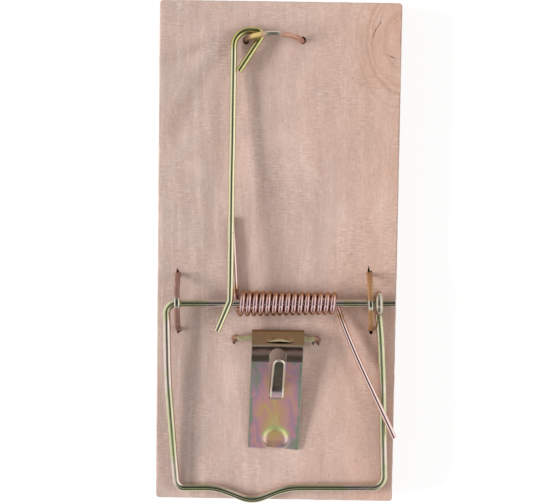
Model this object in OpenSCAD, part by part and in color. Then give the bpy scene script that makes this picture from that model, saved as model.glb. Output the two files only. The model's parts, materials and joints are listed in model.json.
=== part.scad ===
// Snap mouse trap: a wooden board with a bent-wire hammer, its torsion spring,
// a locking bar, a bait pedal and the staples that hold them.
// Millimetres. X runs across the board, Y along it towards the locking bar's staple,
// Z up. The origin is the centre of the board's underside.

/* [Board] */
// Length of the board
board_l = 98; // [92:1:106]
// Width of the board
board_w = 47; // [46:0.5:54]
// Thickness of the board
board_t = 6; // [5:0.5:9]
// Radius of the board's corners
board_corner_r = 0.7; // [0.3:0.1:2]

/* [Hammer] */
// Diameter of the hammer's wire
hammer_wire_d = 1.5; // [1.2:0.1:1.7]
// Distance from the hammer end of the board to the axle
axle_inset = 39.6; // [38.8:0.2:41]
// Height of the axle's centre above the board
axle_rise = 2.95; // [2.9:0.05:3.5]
// Angle that the axle lies off square
axle_skew = 0.9; // [0:0.1:1.2]
// Distance from the axle to the end bar
hammer_reach = 36.95; // [34:0.25:37.2]
// Distance from the middle of the board to the left arm at the axle
left_arm_x = 21.4; // [21:0.1:22]
// How far the left arm leans in at the end bar
left_arm_lean = 1.55; // [0.5:0.05:2.5]
// Distance from the middle of the board to the right arm at the axle
right_arm_x = 19.8; // [19.6:0.1:20.2]
// How far the right arm leans out at the end bar
right_arm_lean = 1.4; // [0.5:0.05:2.4]
// Distance that the axle sticks out past the right arm
axle_tail = 3.4; // [2:0.1:3.6]
// Distance from the left arm to the middle of the end bar's V
vee_from_left = 16.55; // [14:0.05:20]
// Half width of the V
vee_half_w = 7.1; // [5:0.1:8]
// Depth of the V's point past the end bar, before it is rounded
vee_depth = 2.8; // [1.5:0.1:3]
// Gap between the axle and the eye of the right arm
eye_gap = 0.25; // [0.1:0.05:0.3]

/* [Spring] */
// Diameter of the spring's wire
spring_wire_d = 0.8; // [0.6:0.05:0.82]
// Number of turns in the coil
spring_turns = 15; // [13:1:16]
// Distance between turns, centre to centre
spring_pitch = 1.256; // [1.24:0.004:1.3]
// Radius of the coil's first turn, at its centre line
coil_start_r = 2.15; // [1.9:0.05:2.2]
// Radius of the coil's last turn, at its centre line
coil_end_r = 1.75; // [1.6:0.05:2]
// Distance from the middle of the board to the coil's first turn
coil_start_x = 7.28; // [6.8:0.02:7.4]
// Distance that the fixed leg reaches up the board
fixed_leg_l = 16.6; // [12:0.2:20]
// How far the fixed leg leans out over its length
fixed_leg_lean = 1.4; // [0.6:0.1:2]
// Distance that the moving leg reaches towards the end bar
moving_leg_l = 26.6; // [24:0.1:28]
// How far the moving leg leans out over its length
moving_leg_lean = 11.5; // [11:0.1:12.6]
// Height that the moving leg climbs to lie on the right arm
moving_leg_climb = 1.6; // [1.55:0.05:2.4]

/* [Locking bar] */
// Diameter of the locking bar's wire
locking_wire_d = 1.3; // [1.1:0.05:1.35]
// Height of the eye's centre above the board
eye_rise = 1.35; // [1.2:0.05:1.5]
// Length of the bent tip
tip_l = 6.4; // [4:0.2:8]
// Angle of the bent tip
tip_angle = 18.5; // [8:0.5:24]
// Width of the eye along its top side
eye_w = 6; // [5.8:0.1:6.4]
// Length of the eye's return leg
eye_leg_l = 9.3; // [8:0.1:10]

/* [Staples] */
// Diameter of the locking bar staple's wire
locking_staple_d = 1; // [0.8:0.05:1.05]
// Distance between the locking bar staple's legs
locking_staple_span = 10.84; // [10:0.1:12]
// Height of the locking bar staple's crown above the board
locking_staple_rise = 4.3; // [4.2:0.1:5]
// Angle that the locking bar staple leans towards the end of the board
locking_staple_lean = 14; // [10:0.5:16]
// Width of the axle staples' flat wire
axle_staple_w = 1.1; // [0.8:0.05:1.15]
// Thickness of the axle staples' flat wire
axle_staple_t = 0.8; // [0.6:0.05:1]
// Distance between the legs of each axle staple
axle_staple_span = 10.9; // [10.4:0.1:12]
// Diameter of the pedal staple's wire
pedal_staple_d = 1; // [0.8:0.05:1.05]
// Angle that the pedal staple leans towards the axle
pedal_staple_lean = 28; // [10:1:32]
// Distance between the pedal staple's legs
pedal_staple_span = 16.54; // [15:0.1:18]
// Depth that the staple legs reach into the board
leg_depth = 4.2; // [3:0.1:4.6]

/* [Bait pedal] */
// Thickness of the pedal's sheet
sheet_t = 0.4; // [0.3:0.05:0.45]
// Width of the pedal at its fold
pedal_w = 10.2; // [9:0.1:11.5]
// Width of the pedal at its free end
pedal_end_w = 9.75; // [8:0.05:11.5]
// Distance from the pedal's hinge to its free end
pedal_l = 22.35; // [20:0.05:26]
// Distance from the axle to the pedal's hinge
pedal_from_axle = 6.95; // [6.9:0.05:7.6]
// Height of the pedal's hinge above the board
pedal_hinge_rise = 1.5; // [1.45:0.05:1.8]
// Height of the pedal's ridge above the board
ridge_rise = 3; // [2.9:0.05:3.4]
// Width of the slot round the bait tongue
slot_w = 3.1; // [2.6:0.1:4]
// Width of the bait tongue
tongue_w = 2.2; // [1.6:0.05:2.3]
// Height of the bait tongue's tip above the board
tongue_rise = 6.4; // [5:0.1:8]
// Width of the catch that the locking bar's tip hooks into
catch_w = 5.3; // [4:0.1:6]
// Width of the pressed dimple near the free end
dimple_w = 5.2; // [3:0.1:6]

/* [Hidden] */
$fn = 48;

// Clearances
rest_gap = 0.1; // hammer and pedal above the board
lay_gap = 0.15; // locking bar above the axle
strap_gap = 0.25; // axle staple above the axle
leg_gap = 0.02; // staple leg in its hole, all round
pin_gap = 0.08; // pedal's knuckle round its staple
hair = 0.02; // how much thinner a straight is than the bend that it runs into
lap = 0.08; // how far a straight reaches into the bend

// Places that follow from the sizes
axle_y = axle_inset - board_l / 2;
axle_z = board_t + axle_rise;
hammer_r = hammer_wire_d / 2;
bar_z = board_t + rest_gap + hammer_r;
hammer_tilt = asin((axle_z - bar_z) / (hammer_reach + vee_depth));
eye_r = hammer_wire_d + eye_gap;
arm_drop = asin(eye_r / hammer_reach);
arm_run = sqrt(hammer_reach * hammer_reach - eye_r * eye_r);
staple_apex = axle_rise + hammer_r + strap_gap + axle_staple_t / 2;
left_staple_x = -19.3;
right_staple_x = 18.3;

// A planar wire: the corner radii are given for every point, and the two ends take none
function turn_at(p, i) =
    let (a = p[i] - p[i - 1], b = p[i + 1] - p[i])
    atan2(a[0] * b[1] - a[1] * b[0], a[0] * b[0] + a[1] * b[1]);
function setback(p, r, i) =
    (i == 0 || i == len(p) - 1) ? 0 : r[i] * tan(abs(turn_at(p, i)) / 2);

module wire_bend(r, turn, d) {
    side = sign(turn);
    translate([0, side * r, 0])
        rotate([0, 0, side > 0 ? -90 : 90 + turn])
            rotate_extrude(angle = abs(turn))
                translate([r, 0])
                    circle(d = d);
}

// Follows the corners p from the first one, and puts its children at the far end.
// Each roll turns the rest of the wire about the straight that comes before it.
// The straights are a hair thinner than the bends, and reach a little way into them.
module bent_wire(p, r, d, roll = [], bend_follows = false, i = 0) {
    run = norm(p[i + 1] - p[i]) - setback(p, r, i) - setback(p, r, i + 1);
    from = i == 0 ? 0 : -lap;
    to = i + 2 < len(p) || bend_follows ? run + lap : run;
    translate([from, 0, 0]) rotate([0, 90, 0]) cylinder(d = d - hair, h = to - from);
    if (i + 2 < len(p)) {
        turn = turn_at(p, i + 1);
        pull = sign(turn) * r[i + 1];
        translate([run, 0, 0])
            rotate([len(roll) > i + 1 ? roll[i + 1] : 0, 0, 0]) {
                wire_bend(r[i + 1], turn, d);
                translate([0, pull, 0]) rotate([0, 0, turn]) translate([0, -pull, 0])
                    bent_wire(p, r, d, roll, bend_follows, i + 1) children();
            }
    } else {
        translate([run, 0, 0]) children();
    }
}

// Places a wire's plane so that its first straight starts at p[0] and heads for p[1]
module along(p) {
    d = p[1] - p[0];
    translate([p[0][0], p[0][1], 0]) rotate([0, 0, atan2(d[1], d[0])]) children();
}

// The frame of the axle: X along it, origin on it in the middle of the board
module on_axle() {
    translate([0, axle_y, axle_z]) rotate([0, 0, axle_skew]) children();
}

// Board with the staples' holes and the splits beside them
module split(l, w) {
    split_depth = 1.4;
    translate([0, 0, board_t - split_depth])
        linear_extrude(height = split_depth + 1)
            polygon([[-w / 2, 0], [w / 2, 0], [w * 0.1, l]]);
}

module base_board() {
    color("burlywood")
    difference() {
        union() {
            inner_l = board_l - 2 * board_corner_r;
            inner_w = board_w - 2 * board_corner_r;
            translate([-inner_w / 2, -board_l / 2, 0]) cube([inner_w, board_l, board_t]);
            translate([-board_w / 2, -inner_l / 2, 0]) cube([board_w, inner_l, board_t]);
            for (sx = [-1, 1], sy = [-1, 1])
                translate([sx * inner_w / 2, sy * inner_l / 2, 0])
                    cylinder(r = board_corner_r, h = board_t);
        }
        for (x = [left_staple_x, right_staple_x])
            on_axle_board(x) {
                flat_legs(leg_gap);
                for (s = [-1, 1])
                    rotate([0, 0, s > 0 ? 0 : 180])
                        translate([0, axle_staple_span / 2 + axle_staple_t / 2, 0])
                            split(1.2, axle_staple_w * 0.9);
            }
        locking_staple_place() round_legs(
            locking_staple_span, locking_staple_rise / cos(locking_staple_lean), locking_staple_d, leg_gap);
        pedal_staple_place()
            for (s = [-1, 1])
                translate([s * pedal_staple_span / 2, 0, -pedal_leg_l - leg_gap])
                    cylinder(d = pedal_staple_d + 2 * leg_gap, h = leg_depth + 1);
        for (s = [-1, 1])
            translate([
                s * pedal_staple_span / 2,
                pedal_y - pedal_hinge_rise * tan(pedal_staple_lean) - pedal_staple_d * 0.35,
                0
            ])
                rotate([0, 0, 180]) split(1.2, pedal_staple_d * 0.8);
    }
}

// Arched staples: the arch is an arc that leaves the board at both legs, and the legs
// carry straight on into the wood
function arch_r(span, rise) = (span * span / 4 + rise * rise) / (2 * rise);
function arch_half(span, rise) = asin(span / 2 / arch_r(span, rise));

module arch(span, rise) {
    r = arch_r(span, rise);
    a = arch_half(span, rise);
    translate([0, 0, rise - r])
        rotate([90, 0, 0])
            rotate([0, 0, 90 - a])
                rotate_extrude(angle = 2 * a)
                    translate([r, 0])
                        children();
}

// Turns its children so that +Z runs down the leg on side s from the board's surface
module down_leg(span, rise, s) {
    translate([s * span / 2, 0, 0]) rotate([0, 180 - s * (90 - arch_half(span, rise)), 0]) children();
}

module round_legs(span, rise, d, gap) {
    for (s = [-1, 1])
        down_leg(span, rise, s)
            translate([0, 0, gap > 0 ? -1 : -2 * lap])
                cylinder(d = d + (gap > 0 ? 2 * gap : -hair), h = leg_depth + (gap > 0 ? 1 + gap : 2 * lap));
}

module flat_legs(gap) {
    grow = gap > 0 ? 2 * gap : -hair;
    above = gap > 0 ? 1 : 2 * lap;
    below = gap > 0 ? gap : 0;
    for (s = [-1, 1])
        rotate([0, 0, 90])
            down_leg(axle_staple_span, staple_apex, s)
                translate([-(axle_staple_t + grow) / 2, -(axle_staple_w + grow) / 2, -above])
                    cube([axle_staple_t + grow, axle_staple_w + grow, above + leg_depth + below]);
}

module on_axle_board(x) {
    on_axle() translate([x, 0, -axle_rise]) children();
}

module axle_staple(x) {
    color("peru")
    on_axle_board(x) {
        rotate([0, 0, 90]) arch(axle_staple_span, staple_apex)
            square([axle_staple_t, axle_staple_w], center = true);
        flat_legs(0);
    }
}

module left_axle_staple() {
    axle_staple(left_staple_x);
}

module right_axle_staple() {
    axle_staple(right_staple_x);
}

locking_staple_x = -1.25;
locking_staple_inset = 7.55; // from the end of the board to its legs
locking_staple_y = board_l / 2 - locking_staple_inset;

module locking_staple_place() {
    translate([locking_staple_x, locking_staple_y, board_t])
        rotate([-locking_staple_lean, 0, 0])
            children();
}

module locking_bar_staple() {
    rise = locking_staple_rise / cos(locking_staple_lean);
    color("tan")
    locking_staple_place() {
        arch(locking_staple_span, rise) circle(d = locking_staple_d);
        round_legs(locking_staple_span, rise, locking_staple_d, 0);
    }
}

// Pedal staple: a straight crown, which is the pedal's hinge pin, and two legs
pedal_y = axle_y - pedal_from_axle;
pedal_pin_z = board_t + pedal_hinge_rise;
pedal_leg_l = pedal_hinge_rise / cos(pedal_staple_lean) + leg_depth;
pedal_staple_bend = 1.05;

module pedal_staple_place() {
    translate([0, pedal_y, pedal_pin_z]) rotate([-pedal_staple_lean, 0, 0]) children();
}

module pedal_staple() {
    half = pedal_staple_span / 2;
    corners = [[-half, -pedal_leg_l], [-half, 0], [half, 0], [half, -pedal_leg_l]];
    color("darkkhaki")
    pedal_staple_place() rotate([90, 0, 0])
        along(corners)
            bent_wire(corners, [0, pedal_staple_bend, pedal_staple_bend, 0], pedal_staple_d);
}

// Hammer: one wire, from the axle's free end to the eye of the right arm.
// The corners lie in the plane of the axle and the end bar, with the axle along X.
axle_bend_r = 2;
left_corner_r = 1.7;
right_corner_r = 2.3;
arm_bow_r = 200; // each arm is bent a little, half way along
vee_shoulder_r = 12;
vee_tip_r = 5.8;
left_bow_at = 0.55; // share of the arm from the axle
right_bow_at = 0.3;
bow_out = 0.45;
vee_x = vee_from_left - left_arm_x;
frame_corners = [
    [right_arm_x + axle_tail, 0],
    [-left_arm_x, 0],
    [-left_arm_x, -hammer_reach * left_bow_at],
    [-left_arm_x + left_arm_lean, -hammer_reach],
    [vee_x - vee_half_w, -hammer_reach],
    [vee_x, -hammer_reach - vee_depth],
    [vee_x + vee_half_w, -hammer_reach],
    [right_arm_x + right_arm_lean, -hammer_reach],
    [right_arm_x + right_arm_lean * right_bow_at + bow_out, -arm_run * right_bow_at],
    [right_arm_x, 0]
];
frame_radii = [
    0, axle_bend_r, arm_bow_r, left_corner_r, vee_shoulder_r, vee_tip_r, vee_shoulder_r,
    right_corner_r, arm_bow_r, 0
];
frame_rolls = [0, 0, 0, 0, 0, 0, 0, -arm_drop, 0, 0];
eye_wrap = 266;

module hammer() {
    color("olivedrab")
    on_axle() rotate([hammer_tilt, 0, 0])
        along(frame_corners)
            bent_wire(frame_corners, frame_radii, hammer_wire_d, frame_rolls, true)
                rotate([90, 0, 0]) wire_bend(eye_r, eye_wrap, hammer_wire_d);
}

// Torsion spring: one tube swept along the fixed leg, the coil and the moving leg.
// The coil starts and ends below the axle, and turns up on the hammer's side.
rings_per_turn = 8;
tube_sides = 6;
coil_rings = spring_turns * rings_per_turn;
leg_rings = 4;
coil_points = [
    for (i = [0 : coil_rings])
        let (
            share = i / coil_rings,
            a = -90 - 360 * i / rings_per_turn,
            r = coil_start_r + (coil_end_r - coil_start_r) * share
        )
        [-coil_start_x + spring_pitch * spring_turns * share, r * cos(a), r * sin(a)]
];
coil_first = coil_points[0];
coil_last = coil_points[coil_rings];
fixed_tip = [
    coil_first[0] - fixed_leg_lean,
    coil_first[1] + fixed_leg_l,
    -axle_rise + spring_wire_d / 2 + rest_gap
];
moving_tip = coil_last + [moving_leg_lean, -moving_leg_l, moving_leg_climb];
spring_points = concat(
    [for (i = [0 : leg_rings - 1]) fixed_tip + (coil_first - fixed_tip) * i / leg_rings],
    coil_points,
    [for (i = [1 : leg_rings]) coil_last + (moving_tip - coil_last) * i / leg_rings]
);

function unit(v) = v / norm(v);
function heading(p, i) =
    i == 0 ? unit(p[1] - p[0])
    : i == len(p) - 1 ? unit(p[i] - p[i - 1])
    : unit(unit(p[i] - p[i - 1]) + unit(p[i + 1] - p[i]));
// The side direction is kept square to the tube and as close to the last one as it can be
function sides(p, i, s) =
    i == len(p) ? []
    : let (t = heading(p, i), u = unit(s - (s * t) * t)) concat([u], sides(p, i + 1, u));

module tube(p, d) {
    side = sides(p, 0, [1, 0, 0]);
    rings = [
        for (i = [0 : len(p) - 1], k = [0 : tube_sides - 1])
            let (t = heading(p, i), u = side[i], v = cross(t, u), a = 360 * k / tube_sides)
            p[i] + (u * cos(a) + v * sin(a)) * d / 2
    ];
    first = len(rings);
    ends = concat(rings, [p[0], p[len(p) - 1]]);
    skin = [
        for (i = [0 : len(p) - 2], k = [0 : tube_sides - 1])
            let (
                a = i * tube_sides + k,
                b = i * tube_sides + (k + 1) % tube_sides,
                c = a + tube_sides,
                e = b + tube_sides
            )
            each [[a, b, e], [a, e, c]]
    ];
    last = (len(p) - 1) * tube_sides;
    caps = [
        for (k = [0 : tube_sides - 1])
            let (n = (k + 1) % tube_sides)
            each [[first, n, k], [first + 1, last + k, last + n]]
    ];
    polyhedron(points = ends, faces = [for (f = concat(skin, caps)) [f[2], f[1], f[0]]]);
}

// Least gap of the spring to itself: points closer than half a turn along it are one bend
half_turn = rings_per_turn / 2;
spring_self_gap = min([
    for (i = [0 : len(spring_points) - 1], j = [0 : len(spring_points) - 1])
        if (j - i > half_turn) norm(spring_points[j] - spring_points[i])
]) - spring_wire_d;
echo(spring_self_gap = spring_self_gap);

module torsion_spring() {
    color("rosybrown")
    on_axle() tube(spring_points, spring_wire_d);
}

// Locking bar: a flat bent wire, which slopes up from its eye to lie over the axle
locking_r = locking_wire_d / 2;
eye_y = locking_staple_y + 0.55;
locking_z = board_t + eye_rise;
over_axle_z = axle_z + hammer_r + lay_gap + locking_r;
locking_slope = atan((over_axle_z - locking_z) / (eye_y - axle_y));
locking_x = locking_staple_x - 7.7;
bar_drift = 0.45; // how far the bar runs out of line over its length
tip_bend_r = 2.5;
eye_shoulder_r = 3;
eye_nose_r = 0.95;
eye_top = 1.3; // from the eye's reference line up to its top side
eye_leg_angle = 57.5;
bend_y = axle_y - eye_y + 0.4;
eye_nose = [locking_x + eye_w, eye_top - 0.1];
locking_corners = [
    [locking_x - bar_drift - tip_l * sin(tip_angle), bend_y - tip_l * cos(tip_angle)],
    [locking_x - bar_drift, bend_y],
    [locking_x, eye_top],
    eye_nose,
    eye_nose - eye_leg_l * [cos(eye_leg_angle), sin(eye_leg_angle)]
];

module locking_bar() {
    color("khaki")
    translate([0, eye_y, locking_z]) rotate([-locking_slope, 0, 0])
        along(locking_corners)
            bent_wire(locking_corners, [0, tip_bend_r, eye_shoulder_r, eye_nose_r, 0], locking_wire_d);
}

// Bait pedal: one folded sheet. Its side view is in Y and Z from the hinge pin's axis.
// The plate climbs from its free end to a crease and on to a ridge, and a facet falls from
// the ridge over the knuckle that is rolled round the pin.
board_below = -pedal_hinge_rise;
half_t = sheet_t / 2;
knuckle_bore_r = pedal_staple_d / 2 + pin_gap;
knuckle_r = knuckle_bore_r + sheet_t;
facet_out = knuckle_r + 0.05; // from the pin's axis to the facet's top
ridge_y = -1.4;
ridge_top = board_below + ridge_rise;
facet_slope = acos(facet_out / norm([ridge_y, ridge_top])) - atan2(-ridge_y, ridge_top);
facet_end_y = 1.25;
crease_y = -4.75;
crease_share = 0.76; // how high the crease is, as a share of the ridge
free_z = board_below + rest_gap / 2 + half_t;
crease_z = board_below + ridge_rise * crease_share - half_t;
ridge_z = ridge_top - half_t / cos(facet_slope);
facet_end_z = ridge_z - (facet_end_y - ridge_y) * tan(facet_slope);
pedal_path = [
    [-pedal_l, free_z],
    [crease_y, crease_z],
    [ridge_y, ridge_z],
    [facet_end_y, facet_end_z]
];
pedal_bends = [0, 1.2, 0.5, 0];
arc_steps = 8;

// Centre line of a folded sheet with its bends as arcs: each entry is a point and its heading
function fold_line(p, r) = [
    for (i = [0 : len(p) - 1])
        let (
            ahead = i < len(p) - 1 ? p[i + 1] - p[i] : p[i] - p[i - 1],
            back = i > 0 ? p[i] - p[i - 1] : ahead,
            h0 = atan2(back[1], back[0]),
            turn = (i == 0 || i == len(p) - 1) ? 0 : turn_at(p, i),
            start = p[i] - unit(back) * setback(p, r, i),
            steps = turn == 0 ? 0 : arc_steps,
            side = sign(turn),
            centre = start + side * r[i] * [-sin(h0), cos(h0)]
        )
        each [
            for (k = [0 : steps])
                let (h = h0 + (steps == 0 ? 0 : turn * k / steps))
                [turn == 0 ? p[i] : centre + side * r[i] * [sin(h), -cos(h)], h]
        ]
];
function sheet_outline(p, r, t) =
    let (line = fold_line(p, r), n = len(line))
    concat(
        [for (e = line) e[0] + t / 2 * [-sin(e[1]), cos(e[1])]],
        [for (k = [1 : n]) let (e = line[n - k]) e[0] - t / 2 * [-sin(e[1]), cos(e[1])]]
    );

// Extrudes a side view, drawn in Y and Z, to the width w about the YZ plane
module side_extrude(w) {
    rotate([90, 0, 90]) linear_extrude(height = w, center = true) children();
}

pedal_x = 0.4; // middle of the fold, off the middle of the board
pedal_end_x = 0.02; // middle of the free end
slot_from = -1.85; // from the hinge to the slot's near end
slot_x = 0.42;
tongue_x = 0.33;
tongue_root = -12.05;
tongue_bend_y = -8.9;
tongue_tip_y = -3.75;
tongue_low_slope = 18;

function plate_z(y) = free_z + (crease_z - free_z) * (y + pedal_l) / (crease_y + pedal_l);

tongue_bend_z = plate_z(tongue_root) + (tongue_bend_y - tongue_root) * tan(tongue_low_slope);
tongue_tip_z = board_below + tongue_rise - half_t;

module pedal_plan() {
    tall = 30;
    translate([0, 0, -tall / 2])
        linear_extrude(height = tall)
            polygon([
                [pedal_x - pedal_w / 2, 4],
                [pedal_x + pedal_w / 2, 4],
                [pedal_x + pedal_w / 2, 0],
                [pedal_end_x + pedal_end_w / 2, -pedal_l],
                [pedal_end_x - pedal_end_w / 2, -pedal_l],
                [pedal_x - pedal_w / 2, 0]
            ]);
}

module slot_cut() {
    r = slot_w / 2;
    tall = 12;
    translate([slot_x, 0, -tall / 2]) {
        translate([0, slot_from - r, 0]) cylinder(r = r, h = tall);
        translate([-r, tongue_root, 0]) cube([slot_w, slot_from - r - tongue_root, tall]);
    }
}

module tongue() {
    path = [
        [tongue_root - 0.5, plate_z(tongue_root - 0.5)],
        [tongue_root, plate_z(tongue_root)],
        [tongue_bend_y, tongue_bend_z],
        [tongue_tip_y, tongue_tip_z]
    ];
    r = tongue_w / 2;
    tall = 30;
    intersection() {
        translate([tongue_x, 0, 0]) side_extrude(tongue_w)
            polygon(sheet_outline(path, [0, 0.8, 1.5, 0], sheet_t));
        translate([tongue_x, 0, -tall / 2]) {
            translate([0, tongue_tip_y - r, 0]) cylinder(r = r * 1.02, h = tall);
            translate([-tongue_w, tongue_root - 1, 0])
                cube([2 * tongue_w, tongue_tip_y - r - tongue_root + 1, tall]);
        }
    }
}

// Lens-shaped hole in the facet, behind the ridge, for the locking bar's tip
catch_h = 0.95;
module catch_cut() {
    h = catch_h / 2;
    r = (catch_w * catch_w / 4 + h * h) / (2 * h);
    tall = 4;
    translate([catch_x, catch_y, 0])
        intersection_for(s = [-1, 1])
            translate([0, s * (r - h), 0]) cylinder(r = r, h = tall);
}
catch_x = 0.78;
catch_y = -0.5;

// Pressed half-round dimple: a shallow dome, cut off straight on its free-end side.
// The dome stands on the plate from base up, measured from the plate's middle.
dimple_rise = 0.5;
dimple_y = -pedal_l + 1.2; // the straight side
dimple_x = 0.15;
plate_slope = atan((crease_z - free_z) / (crease_y + pedal_l));

module dimple(grow, base) {
    r = (dimple_w * dimple_w / 4 + dimple_rise * dimple_rise) / (2 * dimple_rise);
    translate([dimple_x, dimple_y, plate_z(dimple_y)])
        rotate([plate_slope, 0, 0])
            intersection() {
                translate([0, 0, half_t + dimple_rise - r]) sphere(r = r + grow);
                translate([-dimple_w, -grow, base]) cube([2 * dimple_w, dimple_w, 3]);
            }
}

module bait_pedal() {
    color("plum")
    translate([0, pedal_y, pedal_pin_z]) {
        difference() {
            union() {
                intersection() {
                    side_extrude(3 * pedal_w)
                        polygon(sheet_outline(pedal_path, pedal_bends, sheet_t));
                    pedal_plan();
                }
                dimple(0, 0);
            }
            slot_cut();
            catch_cut();
            dimple(-sheet_t * 0.9, -2);
        }
        tongue();
        translate([pedal_x, 0, 0]) rotate([0, 90, 0]) difference() {
            cylinder(r = knuckle_r, h = pedal_w - 2 * hair, center = true);
            cylinder(r = knuckle_bore_r, h = 2 * pedal_w, center = true);
        }
    }
}

base_board();
left_axle_staple();
right_axle_staple();
locking_bar_staple();
pedal_staple();
hammer();
torsion_spring();
locking_bar();
bait_pedal();
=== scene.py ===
"""Snap mouse trap: wooden board, plated wire hammer, spring, locking bar, staples and bait pedal."""

import json
import math
from functools import partialmethod

import bmesh
import bpy
from mathutils import Matrix, Vector
from mathutils import noise as vector_noise


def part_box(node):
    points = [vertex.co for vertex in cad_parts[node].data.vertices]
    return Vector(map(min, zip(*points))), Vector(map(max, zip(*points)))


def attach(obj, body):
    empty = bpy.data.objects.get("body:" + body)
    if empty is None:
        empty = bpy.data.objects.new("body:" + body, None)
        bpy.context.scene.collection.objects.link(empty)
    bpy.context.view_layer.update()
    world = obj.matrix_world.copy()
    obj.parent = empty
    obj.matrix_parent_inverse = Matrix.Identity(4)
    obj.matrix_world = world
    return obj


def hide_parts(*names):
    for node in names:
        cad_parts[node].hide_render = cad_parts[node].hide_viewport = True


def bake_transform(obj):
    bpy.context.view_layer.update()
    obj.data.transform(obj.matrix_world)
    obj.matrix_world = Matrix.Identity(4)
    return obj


bl_info = {
    "name": "Snap Mouse Trap",
    "version": (1, 0, 0),
    "blender": (4, 5, 0),
    "location": "View3D > Sidebar > Mouse Trap",
    "description": "Dresses a packed snap mouse trap with wood, plated wire and folded sheet",
    "category": "Object",
}

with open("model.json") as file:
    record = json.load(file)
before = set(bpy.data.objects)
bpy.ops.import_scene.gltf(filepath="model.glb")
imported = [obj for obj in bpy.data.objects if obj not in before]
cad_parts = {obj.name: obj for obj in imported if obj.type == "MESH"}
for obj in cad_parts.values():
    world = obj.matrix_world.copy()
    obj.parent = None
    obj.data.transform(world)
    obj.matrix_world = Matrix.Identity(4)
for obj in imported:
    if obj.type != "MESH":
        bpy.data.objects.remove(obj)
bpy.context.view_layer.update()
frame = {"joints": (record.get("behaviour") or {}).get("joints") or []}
MM = 0.001
JOINTS = {joint["name"]: joint for joint in frame["joints"]}
AXLE = Vector(JOINTS["hammer_swing"]["pos_m"])
PEDAL_PIN = Vector(JOINTS["pedal_tilt"]["pos_m"])
BOARD_LOW, BOARD_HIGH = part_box("base_board")
AXLE_RISE = AXLE.z - BOARD_HIGH.z

# where the pieces are, in metres
HAMMER_REACH = 36.95 * MM
LEFT_STRAP_X, RIGHT_STRAP_X = -19.3 * MM, 18.3 * MM
STRAP_SPAN = 10.9 * MM
LOCKING_STAPLE_X, LOCKING_STAPLE_Y = -1.25 * MM, 41.45 * MM
LOCKING_STAPLE_SPAN = 10.84 * MM
LOCKING_STAPLE_RISE = 4.3 * MM
LOCKING_STAPLE_LEAN = math.radians(14)
LOCKING_EYE = Vector((-8.95 * MM, 42.0 * MM, BOARD_HIGH.z + 1.35 * MM))
PEDAL_STAPLE_SPAN = 16.54 * MM
STAPLE_LEG = 3.2 * MM

# places on the resting trap that materials go by, in millimetres
AXLE_Y, PIN_Y = AXLE.y / MM, PEDAL_PIN.y / MM
DIMPLE_X, DIMPLE_Y = 0.19, PIN_Y - 20.2
BOARD_WIDTH, BOARD_LENGTH, BOARD_TOP = 47.0, 98.0, 6.0
KNOT = (24.5, 41.9, BOARD_TOP)
# about half of the board, which turns a place on it into a share
HALF_X, HALF_Y = 24.0, 49.0
WHITE = (1.0, 1.0, 1.0)
WOBBLE_SEED = 7


# ---------------------------------------------------------------- settings


def length(name, text, default_mm, low=0.01, high=200.0):
    """A length property, kept in metres and stated here in millimetres."""
    return bpy.props.FloatProperty(
        name=name,
        description=text,
        default=default_mm * MM,
        min=low * MM,
        max=high * MM,
        subtype="DISTANCE",
        unit="LENGTH",
        precision=5,
    )


def number(name, text, default, low=0.0, high=100.0, unit="NONE"):
    return bpy.props.FloatProperty(name=name, description=text, default=default, min=low, max=high, unit=unit)


def colour(name, text, default):
    return bpy.props.FloatVectorProperty(
        name=name, description=text, default=default, size=3, min=0.0, max=1.0, subtype="COLOR"
    )


class BoardSettings(bpy.types.PropertyGroup):
    edge_wear: length("Edge wear", "How far the board's edges are rounded off", 0.28, 0.02, 1.0)
    corner_radius: length("Corner radius", "Radius of the board's four corners", 0.7, 0.3, 2.0)
    crack_width: length("Crack width", "Width of the cracks by the knot", 0.16, 0.05, 0.6)
    pale_wood: colour("Pale wood", "Colour of the board's middle", (0.66, 0.47, 0.40))
    grey_wood: colour("Grey wood", "Colour of the greyer side", (0.54, 0.405, 0.352))
    tan_wood: colour("Tan wood", "Colour of the warmer side", (0.69, 0.44, 0.34))


class WireSettings(bpy.types.PropertyGroup):
    hammer_wire: length("Hammer wire", "Diameter of the hammer's wire", 1.5, 0.8, 2.0)
    spring_wire: length("Spring wire", "Diameter of the spring's wire", 1.06, 0.6, 1.15)
    locking_wire: length("Locking bar wire", "Diameter of the locking bar's wire", 1.3, 0.8, 1.6)
    staple_wire: length("Staple wire", "Diameter of the round staples' wire", 1.0, 0.6, 1.2)
    strap_width: length("Strap width", "Width of the axle staples' flat wire", 1.1, 0.6, 1.4)
    strap_thickness: length("Strap thickness", "Thickness of the axle staples' flat wire", 0.8, 0.4, 1.0)
    # the top colours of the hammer and the locking bar are plating darkened by a painted reflection
    hammer_top_plating_and_reflection: colour("Hammer plating", "Colour along the hammer's top", (0.54, 0.55, 0.32))
    spring_plating: colour("Spring plating", "Main colour of the spring", (0.72, 0.46, 0.40))
    locking_top_plating_and_reflection: colour("Locking bar plating", "Colour along the locking bar's top", (0.70, 0.66, 0.42))
    left_strap: colour("Left axle staple", "Plating of the left axle staple", (0.34, 0.185, 0.15))
    right_strap: colour("Right axle staple", "Plating of the right axle staple", (0.46, 0.25, 0.12))
    locking_staple: colour("Locking bar staple", "Plating of the locking bar's staple", (0.54, 0.30, 0.21))
    pedal_staple: colour("Pedal staple", "Plating of the pedal's staple", (0.80, 0.77, 0.46))


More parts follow.
